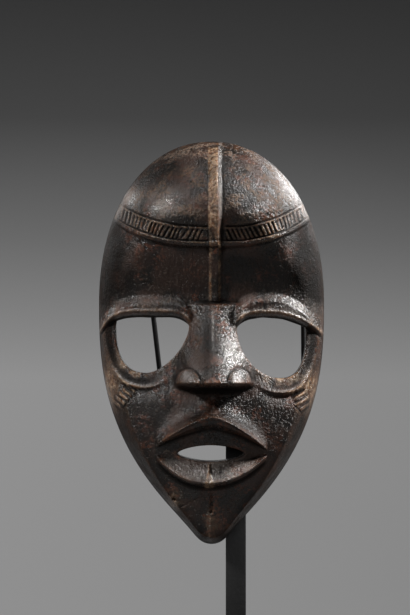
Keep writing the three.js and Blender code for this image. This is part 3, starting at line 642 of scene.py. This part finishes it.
# No mark stands past the block that the face was carved from.
places = np.empty(len(mask.data.vertices) * 3)
mask.data.vertices.foreach_get("co", places)
places = np.clip(places.reshape(-1, 3), np.array(mask_low), np.array(mask_high))
mask.data.vertices.foreach_set("co", places.ravel())
mask.data.update()


def vertex_positions(mesh):
    flat = np.empty(len(mesh.vertices) * 3)
    mesh.vertices.foreach_get("co", flat)
    return (flat.reshape(-1, 3) - np.array(mask_place)) / MM


def inward_at(x, z):
    """Distance to the outline, measured along the line from the middle of the face."""
    turns = np.linspace(0, math.pi, 721)
    edge_x, edge_z = outline_point(turns, 0)
    bearings = np.arctan2(edge_x, edge_z - widest_height)
    turn = np.interp(np.arctan2(np.abs(x), z - widest_height), bearings, turns)
    edge_x, edge_z = outline_point(turn, 0)
    reach = np.hypot(edge_x, edge_z - widest_height) - np.hypot(x, z - widest_height)
    return np.maximum(0, reach)


def standing(x, z, ring):
    """How far the carved form stands proud of its surroundings, in millimetres."""
    total = 0
    for turn in np.arange(8) * math.pi / 4:
        near_x, near_z = x + ring * math.cos(turn), z + ring * math.sin(turn)
        total = total + form_depth(near_x, near_z, inward_at(near_x, near_z))
    return form_depth(x, z, inward_at(x, z)) - total / 8


def spot(x, z, at_x, at_z, wide, high):
    return np.exp(-((x - at_x) / wide) ** 2 - ((z - at_z) / high) ** 2)


def line_mask(distance, half):
    return 1 - smooth(half * 0.4, half, np.abs(distance))


def spots(x, z, *marks):
    """Sum of soft round marks, each a strength, a place, a half width and a half height."""
    return sum(strength * spot(x, z, *mark) for strength, *mark in marks)


def between(value, start, full, fade, end):
    """Rises from start to full and falls again from fade to end."""
    return smooth(start, full, value) * (1 - smooth(fade, end, value))


# Where each point of the finished mesh lies on the face, and how far it stands out or lies back.
x, y, z = vertex_positions(mask.data).T
inward = inward_at(x, z)
on_face = 1 - smooth(2.0, 3.5, form_depth(x, z, inward) + y)
crest = standing(x, z, 1.3)
broad_crest = standing(x, z, 3.5)
off_middle = x - mid_x(z)
side_lid = np.where(x < 0, lid_presence(x, -1), lid_presence(x, 1))
above_lid = z - np.where(x < 0, lid_edge(x, -1), lid_edge(x, 1))
rim_distance = opening_distance(x, z)
reach = np.where(x < 0, bowl_reach(x, z, -1), bowl_reach(x, z, 1))
on_cheek = smooth(socket["nose_end"], socket["cheek_start"], np.abs(x)) * (above_lid < -lid_underside)
lit_ridge = spots(x, z, (1, -47, 97, 15, 9), (0.8, 48, 95, 10, 8))
in_band = smooth(1, 2, z - band_edge(x)) * (1 - smooth(-1, 1, z - band_top(x)))
above_lip_edge = z - lower_lip_edge(x)
patchy = 0.5 + 0.9 * noise(x, y, z, 5.0, 41) + 0.5 * noise(x, y, z, 1.6, 42)
flecks = np.clip(patchy, 0, 1)
dense_flecks = np.clip(0.3 + patchy, 0, 1)

# Edges where the black has thinned to brown
worn_edges = 0.55 * smooth(0.35, 0.8, crest) + 0.45 * smooth(1.0, 2.2, broad_crest)
worn_edges = worn_edges + 0.9 * side_lid * line_mask(above_lid + 0.6, 1.3)
worn_edges = worn_edges + 0.8 * (1 - smooth(0.2, 1.6, rim_distance))
worn_edges = worn_edges + 0.8 * line_mask(above_lip_edge - 0.6, 1.6) * (np.abs(x) < 25)
worn_edges = worn_edges * np.clip(patchy, 0, 1.2)

# Grey and tan crust on the dome, the lids and the nose
crust = smooth(band_edge(x) + 4, band_edge(x) + 22, z)
crust = np.maximum(crust, 0.6 * side_lid * between(above_lid, -3.5, -1, 5, 8))
crust = np.maximum(crust, 0.35 * between(z, 95, 130, 120, 175))

# Bare wood on the lower lip's ridge, the chin, the jaw and the cheeks' margins
ridge_wide = 1.0 + 2.6 * (1 - smooth(37, 46, z))
bare_and_highlight = 1.9 * line_mask(x - lip_ridge["x"], ridge_wide) * between(z, 34, 37, 47, 50)
bare_and_highlight = bare_and_highlight + spots(x, z, (0.7, chin_ridge["x"] + 0.8, 12, 3, 8), (0.7, -22, 27, 3.2, 6),
                    (1, -60, 96, 5, 11), (0.9, 58, 96, 5, 8))
# on the lids and in the hatched band
bare_and_highlight = bare_and_highlight + 0.8 * side_lid * line_mask(above_lid - 0.5, 1.0) * dense_flecks
bare_and_highlight = bare_and_highlight + 0.9 * spot(x, z, 34, 186, 4, 5) * smooth(-0.3, 0.1, crest)
bare_and_highlight = bare_and_highlight + 0.4 * smooth(0.05, 0.3, crest) * in_band
# around the sockets and on the scars; the tan line along the sockets' lower ridges is a painted highlight
bare_and_highlight = bare_and_highlight + 0.35 * on_cheek * line_mask(reach - 8.4, 1.5) * lit_ridge
bare_and_highlight = bare_and_highlight + 1.5 * (1 - smooth(1.0, 5.0, rim_distance)) * spot(x, z, -46, 103, 13, 9) * flecks
bare_and_highlight = bare_and_highlight + 0.9 * (1 - smooth(4, 7, rim_distance)) * spot(x, z, 40, 98, 12, 7) * flecks
bare_and_highlight = bare_and_highlight + smooth(0.1, 0.4, crest) * spots(x, z, (0.9, -51, 89, 9, 10), (0.9, 52, 88, 9, 9))
# and on the keel, whose left flank is lighter above and whose two edges show faintly below
flank = smooth(-5.6, -4.4, off_middle) * (1 - smooth(0.0, 1.0, off_middle))
bare_and_highlight = bare_and_highlight + 1.2 * flank * between(z, 180, 194, 232, 238) * dense_flecks
faint = line_mask(off_middle + 3.8, 1.0) + line_mask(off_middle - 1.6, 1.0)
bare_and_highlight = bare_and_highlight + 0.9 * faint * between(z, 140, 150, 175, 185) * np.clip(0.4 + patchy, 0, 1)

# Gloss and painted highlight: where the highlights fall on the nose, dome, lower lip, keel, lids and the
# sockets' ridges the colour is lightened toward silver, and the skin is made glossier
gloss_and_painted_highlight = spots(x, z, (1, 14, 114, 6, 11), (0.7, 15, 99, 6, 4), (0.6, -14, 100, 6, 5),
               (1, 48, 212, 9, 12), (1.1, -28, 201, 9, 7), (1, -49, 206, 5, 5))
gloss_and_painted_highlight = gloss_and_painted_highlight + 0.9 * line_mask(x - 0.6, 0.9) * between(z, 114, 120, 140, 143)
gloss_and_painted_highlight = gloss_and_painted_highlight + 0.8 * line_mask(off_middle - 2.2, 1.4) * smooth(180, 200, z)
lip_top = smooth(-1.5, 1.5, above_lip_edge) * (1 - smooth(50, 54, z)) * (1 - smooth(26, 32, np.abs(x)))
gloss_and_painted_highlight = gloss_and_painted_highlight + 0.6 * lip_top * (1 + spots(x, z, (0.6, -9, 38, 9, 4), (0.6, 5, 38, 8, 4)))
gloss_and_painted_highlight = gloss_and_painted_highlight + (above_lid > 0) * spots(x, z, (0.9, 52, 138, 13, 9), (0.2, -45, 143, 18, 6))
gloss_and_painted_highlight = gloss_and_painted_highlight + 0.9 * side_lid * line_mask(above_lid - 0.9, 0.9)
gloss_and_painted_highlight = gloss_and_painted_highlight + 1.8 * on_cheek * line_mask(reach - 7.4, 0.9) * lit_ridge
gloss_and_painted_highlight = gloss_and_painted_highlight * np.clip(0.35 + 0.9 * patchy, 0, 1) * (1 - np.clip(bare_and_highlight, 0, 0.8))

# Painted shade: darkening in cuts and hollows, in the sockets, down the side wall, in the recess below the
# band, over the upper dome and in patches, kept off bare wood and the painted highlights
painted_shade = smooth(0.3, 0.9, -crest) + 0.8 * smooth(0.6, 2.0, -broad_crest)
painted_shade = painted_shade + in_band * smooth(0.08, 0.35, -crest)
painted_shade = painted_shade + 0.55 * on_cheek * between(reach, 1, 3, 5, 7) + 0.4 * on_cheek * line_mask(reach - 4.5, 2.5)
side_wall = (1 - smooth(3, 14, inward)) * (1 - 0.5 * np.exp(-((z - 115) / 18) ** 2))
side_wall = side_wall + 0.9 * (1 - smooth(9, 24, inward)) * smooth(136, 150, z)
side_wall = side_wall * (1 - smooth(180, 208, z))
on_lid = above_lid * side_lid >= 0.5
painted_shade = painted_shade + side_wall * np.where(on_lid, 0.7 * smooth(5, 9, above_lid), 0.75 + 0.25 * patchy)
painted_shade = painted_shade + 0.35 * between(z, 147, 152, 166, 176) + 0.28 * smooth(188, 202, z)
painted_shade = painted_shade + spots(x, z, (0.45, 24, 71, 10, 9), (0.3, -37, 76, 16, 20), (0.25, 36, 76, 15, 20),
                          (0.4, -12, 116, 8, 18), (0.8, -2, 122, 4, 18), (0.4, -33, 142, 16, 5),
                          (0.5, 54, 166, 9, 20), (0.4, 7.5, 210, 3, 18), (0.6, -44, 221, 9, 9),
                          (0.6, -24, 222, 15, 10))
painted_shade = painted_shade * (1 - 0.9 * np.clip(bare_and_highlight + gloss_and_painted_highlight, 0, 1))

# Channels of the finish: red worn edges, green painted shade, blue crust, alpha bare wood with the sockets'
# painted highlight.
colours = [np.clip(value * on_face, 0, 1) for value in (worn_edges, painted_shade, crust, bare_and_highlight)]
finish = mask.data.color_attributes.new("finish", "FLOAT_COLOR", "POINT")
finish.data.foreach_set("color", np.stack(colours, axis=-1).astype(np.float32).ravel())
# The gloss and painted highlight mask goes to the mesh as its own attribute.
highlight_layer = mask.data.attributes.new("gloss_and_painted_highlight", "FLOAT", "POINT")
highlight_layer.data.foreach_set("value", np.clip(gloss_and_painted_highlight * on_face, 0, 1).astype(np.float32))


# Noise cut off softly at a level into patches, shared by the wood and the steel.
mottle = bpy.data.node_groups.new("mottle", "ShaderNodeTree")
for name in ("Scale", "Detail", "Level", "Softness"):
    mottle.interface.new_socket(name, in_out="INPUT", socket_type="NodeSocketFloat")
mottle.interface.new_socket("Vector", in_out="INPUT", socket_type="NodeSocketVector")
mottle.interface.new_socket("Mask", in_out="OUTPUT", socket_type="NodeSocketFloat")
inside = mottle.nodes.new("NodeGroupInput")
outside = mottle.nodes.new("NodeGroupOutput")
cloud = mottle.nodes.new("ShaderNodeTexNoise")
low = mottle.nodes.new("ShaderNodeMath")
low.operation = "SUBTRACT"
high = mottle.nodes.new("ShaderNodeMath")
high.operation = "ADD"
ramp = mottle.nodes.new("ShaderNodeMapRange")
ramp.interpolation_type = "SMOOTHSTEP"
for name in ("Vector", "Scale", "Detail"):
    mottle.links.new(inside.outputs[name], cloud.inputs[name])
for node in (low, high):
    mottle.links.new(inside.outputs["Level"], node.inputs[0])
    mottle.links.new(inside.outputs["Softness"], node.inputs[1])
mottle.links.new(cloud.outputs["Fac"], ramp.inputs["Value"])
mottle.links.new(low.outputs[0], ramp.inputs["From Min"])
mottle.links.new(high.outputs[0], ramp.inputs["From Max"])
mottle.links.new(ramp.outputs["Result"], outside.inputs["Mask"])


class Finish:
    """A material being built up from nodes, coat by coat."""

    def __init__(self, name):
        self.material = bpy.data.materials.new(name)
        self.material.use_nodes = True
        self.nodes = self.material.node_tree.nodes
        self.links = self.material.node_tree.links
        self.shader = self.nodes["Principled BSDF"]
        self.place = self.nodes.new("ShaderNodeTexCoord").outputs["Object"]

    def feed(self, socket, value):
        if isinstance(value, bpy.types.NodeSocket):
            self.links.new(value, socket)
        else:
            socket.default_value = value

    def math(self, operation, a, b=0.0, clamp=False):
        node = self.nodes.new("ShaderNodeMath")
        node.operation = operation
        node.use_clamp = clamp
        self.feed(node.inputs[0], a)
        self.feed(node.inputs[1], b)
        return node.outputs[0]

    def mix(self, factor, under, over):
        node = self.nodes.new("ShaderNodeMix")
        node.data_type = "RGBA"
        self.feed(node.inputs["Factor"], factor)
        self.feed(node.inputs[6], under)
        self.feed(node.inputs[7], over)
        return node.outputs[2]

    def spots(self, scale, level, softness, detail=6.0, vector=None):
        node = self.nodes.new("ShaderNodeGroup")
        node.node_tree = mottle
        self.feed(node.inputs["Vector"], vector or self.place)
        for name, value in (("Scale", scale), ("Level", level), ("Softness", softness), ("Detail", detail)):
            self.feed(node.inputs[name], value)
        return node.outputs["Mask"]

    def noise(self, scale, detail):
        node = self.nodes.new("ShaderNodeTexNoise")
        node.inputs["Scale"].default_value = scale
        node.inputs["Detail"].default_value = detail
        self.links.new(self.place, node.inputs["Vector"])
        return node.outputs["Fac"]

    def stretched(self, size):
        node = self.nodes.new("ShaderNodeMapping")
        node.inputs["Scale"].default_value = size
        self.links.new(self.place, node.inputs["Vector"])
        return node.outputs["Vector"]

    def bump(self, height, distance, strength=1.0, under=None):
        node = self.nodes.new("ShaderNodeBump")
        node.inputs["Distance"].default_value = distance
        node.inputs["Strength"].default_value = strength
        self.links.new(height, node.inputs["Height"])
        if under:
            self.links.new(under, node.inputs["Normal"])
        return node.outputs["Normal"]


wood = Finish("blackened_wood")
finish_map = wood.nodes.new("ShaderNodeVertexColor")
finish_map.layer_name = "finish"
split = wood.nodes.new("ShaderNodeSeparateColor")
wood.links.new(finish_map.outputs["Color"], split.inputs["Color"])
# Green is the painted shade; alpha is bare wood with the sockets' painted highlight.
worn, painted_shade_level, crusted = (split.outputs[name] for name in ("Red", "Green", "Blue"))
bare_and_highlight_level = finish_map.outputs["Alpha"]
highlight_map = wood.nodes.new("ShaderNodeAttribute")
highlight_map.attribute_name = "gloss_and_painted_highlight"
highlight_level = highlight_map.outputs["Fac"]

black = (0.0080, 0.0064, 0.0054, 1)
brown = (0.036, 0.0175, 0.0115, 1)
orange = (0.17, 0.072, 0.030, 1)
tan = (0.36, 0.25, 0.16, 1)
grey = (0.125, 0.088, 0.062, 1)
# Near black of the painted shade
shade_black = (0.0045, 0.0036, 0.0030, 1)
stain = (0.095, 0.034, 0.018, 1)
# Silver of the painted highlight
highlight_silver = (0.21, 0.185, 0.165, 1)
tan_crust = (0.19, 0.115, 0.075, 1)

grain_vector = wood.stretched((1.0, 1.0, 0.12))
broad_patches = wood.spots(55.0, 0.54, 0.07, 8.0)
fine_specks = wood.spots(620.0, 0.60, 0.05, 4.0)
grain_lines = wood.spots(900.0, 0.5, 0.2, 3.0, grain_vector)
crust_patches = wood.spots(105.0, 0.53, 0.04, 9.0)
crust_crumbs = wood.spots(620.0, 0.48, 0.12, 5.0)

colour = wood.mix(broad_patches, black, brown)
colour = wood.mix(wood.math("MULTIPLY", grain_lines, 0.2), colour, brown)
colour = wood.mix(wood.math("MULTIPLY", fine_specks, 0.25), colour, grey)
stain_patches = wood.spots(95.0, 0.56, 0.06, 9.0)
stain_crumbs = wood.spots(520.0, 0.52, 0.10, 5.0)
stain_mask = wood.math("MULTIPLY", stain_patches, stain_crumbs, True)
colour = wood.mix(wood.math("MULTIPLY", stain_mask, 0.85), colour, stain)
crust_mask = wood.math("MULTIPLY", wood.math("MULTIPLY", crusted, crust_patches), crust_crumbs, True)
crust_colour = wood.mix(stain_crumbs, grey, tan_crust)
colour = wood.mix(wood.math("MULTIPLY", crust_mask, 0.85), colour, crust_colour)
wear_noise = wood.spots(300.0, 0.5, 0.12, 6.0)
wear_mask = wood.math("MULTIPLY", worn, wood.math("ADD", wood.math("MULTIPLY", wear_noise, 0.75), 0.15))
colour = wood.mix(wood.math("MULTIPLY", wear_mask, 0.75, True), colour, orange)
# Bare wood, and the painted highlight on the sockets' ridges, turn the colour orange to tan.
bare_and_highlight_mask = wood.math("MULTIPLY", bare_and_highlight_level, wood.math("ADD", wood.math("MULTIPLY", wear_noise, 0.7), 0.25), True)
bare_and_highlight_colour = wood.mix(crust_crumbs, orange, tan)
colour = wood.mix(bare_and_highlight_mask, colour, bare_and_highlight_colour)
# Painted highlight: the colour lightens toward silver where the highlights fall.
colour = wood.mix(wood.math("MULTIPLY", highlight_level, 0.55), colour, highlight_silver)
# Painted shade: the colour darkens to near black in the shaded places.
colour = wood.mix(wood.math("MULTIPLY", painted_shade_level, 0.85, True), colour, shade_black)
wood.links.new(colour, wood.shader.inputs["Base Color"])

rough = wood.math("ADD", wood.math("MULTIPLY", broad_patches, 0.12), 0.22)
rough = wood.math("ADD", rough, wood.math("MULTIPLY", fine_specks, 0.15))
rough = wood.math("ADD", rough, wood.math("MULTIPLY", crust_mask, 0.32))
rough = wood.math("ADD", rough, wood.math("MULTIPLY", painted_shade_level, 0.3), True)
rough = wood.math("SUBTRACT", rough, wood.math("MULTIPLY", highlight_level, 0.06), True)
wood.links.new(rough, wood.shader.inputs["Roughness"])

bump_height = 0.0007
pores = wood.noise(1000.0, 5.0)
dents = wood.noise(260.0, 5.0)
relief = wood.math("ADD", wood.math("MULTIPLY", pores, 0.8), wood.math("MULTIPLY", grain_lines, 0.2))
relief = wood.math("ADD", relief, wood.math("MULTIPLY", fine_specks, 0.4))
relief = wood.math("ADD", relief, wood.math("MULTIPLY", crust_mask, 0.5))
skin = wood.bump(dents, bump_height, 0.6)
skin = wood.bump(relief, bump_height, 0.9, skin)
wood.links.new(skin, wood.shader.inputs["Normal"])
gloss = wood.math("ADD", wood.math("MULTIPLY", highlight_level, 0.55), 0.44, True)
gloss = wood.math("MULTIPLY", gloss, wood.math("SUBTRACT", 1.0, wood.math("MULTIPLY", painted_shade_level, 0.75), True))
wood.links.new(gloss, wood.shader.inputs["Specular IOR Level"])

mask.data.materials.clear()
mask.data.materials.append(wood.material)
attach(mask, "root")
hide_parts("mask")


# The steel stand
# A flat foot, a square bar welded to it, a rod across the bar's top and two thin arms with short pins.
# Mild steel, welded and brushed with matt black paint.

steel = Finish("black_paint")
steel_spots = steel.spots(420.0, 0.6, 0.1)
steel_dust = steel.spots(60.0, 0.55, 0.2)
steel_colour = steel.mix(steel_spots, (0.013, 0.013, 0.0135, 1), (0.022, 0.022, 0.0225, 1))
steel_colour = steel.mix(steel.math("MULTIPLY", steel_dust, 0.25), steel_colour, (0.03, 0.029, 0.027, 1))
steel.links.new(steel_colour, steel.shader.inputs["Base Color"])
steel_rough = steel.math("ADD", steel.math("MULTIPLY", steel_dust, 0.15), 0.42)
steel.links.new(steel_rough, steel.shader.inputs["Roughness"])
orange_peel = steel.bump(steel.noise(700.0, 3.0), 0.0002, 0.6)
steel.links.new(orange_peel, steel.shader.inputs["Normal"])


sharp_angle = math.radians(40)


def finish_steel(shape, node, kind):
    """The shape as a shaded piece of the stand in its node's place."""
    mesh = bpy.data.meshes.new(node + kind)
    shape.to_mesh(mesh)
    shape.free()
    mesh.shade_smooth()
    mesh.set_sharp_from_angle(angle=sharp_angle)
    mesh.materials.append(steel.material)
    piece = bpy.data.objects.new(node + "_steel", mesh)
    bpy.context.collection.objects.link(piece)
    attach(piece, "root")
    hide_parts(node)


def bar(node, bevel):
    """A sawn bar or plate with its edges eased."""
    low, high = (Vector(corner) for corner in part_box(node))
    shape = bmesh.new()
    bmesh.ops.create_cube(shape, size=1)
    for vertex in shape.verts:
        vertex.co = Vector(low[k] + (vertex.co[k] + 0.5) * (high[k] - low[k]) for k in range(3))
    bmesh.ops.bevel(shape, geom=shape.edges[:], offset=bevel, segments=3, profile=0.5, affect="EDGES")
    finish_steel(shape, node, "_bar")


def rod(node, ease):
    """A drawn rod on the line of its node, however that leans, with its two ends filed round."""
    places = np.unique([np.round(vertex.co, 6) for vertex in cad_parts[node].data.vertices], axis=0)
    along = places[:, np.ptp(places, axis=0).argmax()]
    first, last = places[along < along.mean()], places[along > along.mean()]
    start, end = Vector(first.mean(axis=0)), Vector(last.mean(axis=0))
    radius = float(np.linalg.norm(first - first.mean(axis=0), axis=1).max())
    half = (end - start).length / 2
    turned = (end - start).to_track_quat("Z", "Y").to_matrix()
    corner = 0.3 * ease
    outline = [(0, -half), (radius - ease, -half), (radius - corner, -half + corner), (radius, -half + ease)]
    outline = outline + [(away, -up) for away, up in reversed(outline)]
    facets = 28
    shape = bmesh.new()
    rings = []
    for away, up in outline:
        turns = [2 * math.pi * i / facets for i in range(facets if away > 0 else 1)]
        rings.append([shape.verts.new((start + end) / 2 + turned @ Vector(
            (away * math.cos(turn), away * math.sin(turn), up))) for turn in turns])
    for lower, upper in zip(rings, rings[1:]):
        for i in range(facets):
            corners = [lower[i % len(lower)], lower[(i + 1) % len(lower)],
                       upper[(i + 1) % len(upper)], upper[i % len(upper)]]
            shape.faces.new(list(dict.fromkeys(corners)))
    bmesh.ops.recalc_face_normals(shape, faces=shape.faces)
    finish_steel(shape, node, "_rod")


bar("foot", 0.0008)
bar("post", 0.0006)
rod("cross_rod", 0.0006)
for node in ("left_arm", "right_arm", "left_pin", "right_pin"):
    rod(node, 0.0004)


# The studio: a roll of pale paper that lies under the stand and bends up behind it without a line;
# its colour is painted darker upward and toward the right, as painted shade. Two side boxes, a top box and two
# boxes behind the mask draw its edges, and a weak front box fills the rest. The paper is clear from behind, so
# that the mask's back can be seen too.
sweep_bend = {"start": 0.30, "radius": 0.55, "top": 2.4}
sweep_line = [(-2.2, 0.0), (0.0, 0.0)]
for step in range(17):
    turn = step / 16 * math.pi / 2
    sweep_line.append((sweep_bend["start"] + sweep_bend["radius"] * math.sin(turn),
                       sweep_bend["radius"] * (1 - math.cos(turn))))
sweep_line.append((sweep_bend["start"] + sweep_bend["radius"], sweep_bend["top"]))
sweep_mesh = bpy.data.meshes.new("paper_sweep")
sweep_mesh.from_pydata([(x, y, z) for y, z in sweep_line for x in (-3, 3)], [],
                       [(2 * i, 2 * i + 1, 2 * i + 3, 2 * i + 2) for i in range(len(sweep_line) - 1)])
sweep_mesh.shade_smooth()
sweep = bpy.data.objects.new("paper_sweep", sweep_mesh)
bpy.context.collection.objects.link(sweep)
paper = Finish("paper_with_painted_shade")
height_on_paper = paper.nodes.new("ShaderNodeSeparateXYZ")
paper.links.new(paper.place, height_on_paper.inputs["Vector"])
# Painted shade on the paper: its colour darkens upward and toward the right.
painted_shade_ramp = paper.nodes.new("ShaderNodeValToRGB")
for element, tone in zip(painted_shade_ramp.color_ramp.elements, (0.14, 0.016)):
    element.color = (tone, tone, tone, 1)
for height, tone in ((0.17, 0.155), (0.28, 0.083), (0.38, 0.034), (0.474, 0.0215)):
    painted_shade_ramp.color_ramp.elements.new(height).color = (tone, tone, tone, 1)
paper.links.new(height_on_paper.outputs["Z"], painted_shade_ramp.inputs["Fac"])
painted_side_shade = paper.nodes.new("ShaderNodeMapRange")
for name, value in (("From Min", -0.2), ("From Max", 0.2), ("To Min", 1.11), ("To Max", 0.67)):
    painted_side_shade.inputs[name].default_value = value
paper.links.new(height_on_paper.outputs["X"], painted_side_shade.inputs["Value"])
paper_shade = paper.nodes.new("ShaderNodeVectorMath")
paper_shade.operation = "SCALE"
paper.links.new(painted_shade_ramp.outputs["Color"], paper_shade.inputs[0])
paper.links.new(painted_side_shade.outputs["Result"], paper_shade.inputs["Scale"])
paper.links.new(paper_shade.outputs["Vector"], paper.shader.inputs["Base Color"])
seen_from = paper.nodes.new("ShaderNodeNewGeometry")
paper.links.new(paper.math("SUBTRACT", 1.0, seen_from.outputs["Backfacing"]), paper.shader.inputs["Alpha"])
paper.shader.inputs["Roughness"].default_value = 0.95
paper.shader.inputs["Specular IOR Level"].default_value = 0.1
sweep_mesh.materials.append(paper.material)

bpy.context.scene.view_settings.view_transform = "Standard"

# The camera stands level in front of the mask; the scale is that of the picture at the mask's rim.
millimetres_a_pixel = 0.5955
picture_height = 615
distance = 2.2
look_at = mask_place + Vector((-3.9, 0, 140.8)) * MM
camera_data = bpy.data.cameras.new("camera")
camera_data.sensor_width = 36
camera_data.lens = camera_data.sensor_width * distance / (picture_height * millimetres_a_pixel * MM)
camera_data.dof.use_dof = False
camera = bpy.data.objects.new("camera", camera_data)
camera.location = look_at + Vector((0, -distance, 0))
camera.rotation_euler = (math.pi / 2, 0, 0)
bpy.context.collection.objects.link(camera)
bpy.context.scene.camera = camera


def soft_box(name, place, size, watts):
    data = bpy.data.lights.new(name, "AREA")
    data.shape = "RECTANGLE"
    data.size, data.size_y = size
    data.energy = watts
    light = bpy.data.objects.new(name, data)
    light.location = look_at + Vector(place)
    light.rotation_euler = (-Vector(place)).to_track_quat("-Z", "Y").to_euler()
    bpy.context.collection.objects.link(light)


def around(bearing, height, reach):
    """A place at a bearing from the camera's side of the mask, in degrees, positive to the right."""
    turn, up = math.radians(bearing), math.radians(height)
    return (reach * math.cos(up) * math.sin(turn), -reach * math.cos(up) * math.cos(turn), reach * math.sin(up))


soft_box("right_hair_box", around(150, 22, 0.75), (0.20, 0.18), 1.6)
soft_box("left_hair_box", around(-142, 18, 0.75), (0.12, 0.10), 0.5)
soft_box("right_side_box", around(91, 36, 1.1), (0.15, 0.15), 27)
soft_box("left_side_box", around(-62, 32, 1.1), (0.13, 0.13), 9)
soft_box("top_box", around(6, 71, 1.1), (0.26, 0.16), 6.5)
soft_box("front_box", around(0, 12, 2.1), (1.2, 0.8), 3.2)
world = bpy.data.worlds.new("studio")
world.use_nodes = True
world.node_tree.nodes["Background"].inputs["Color"].default_value = (0.5, 0.5, 0.52, 1)
world.node_tree.nodes["Background"].inputs["Strength"].default_value = 0.02
bpy.context.scene.world = world
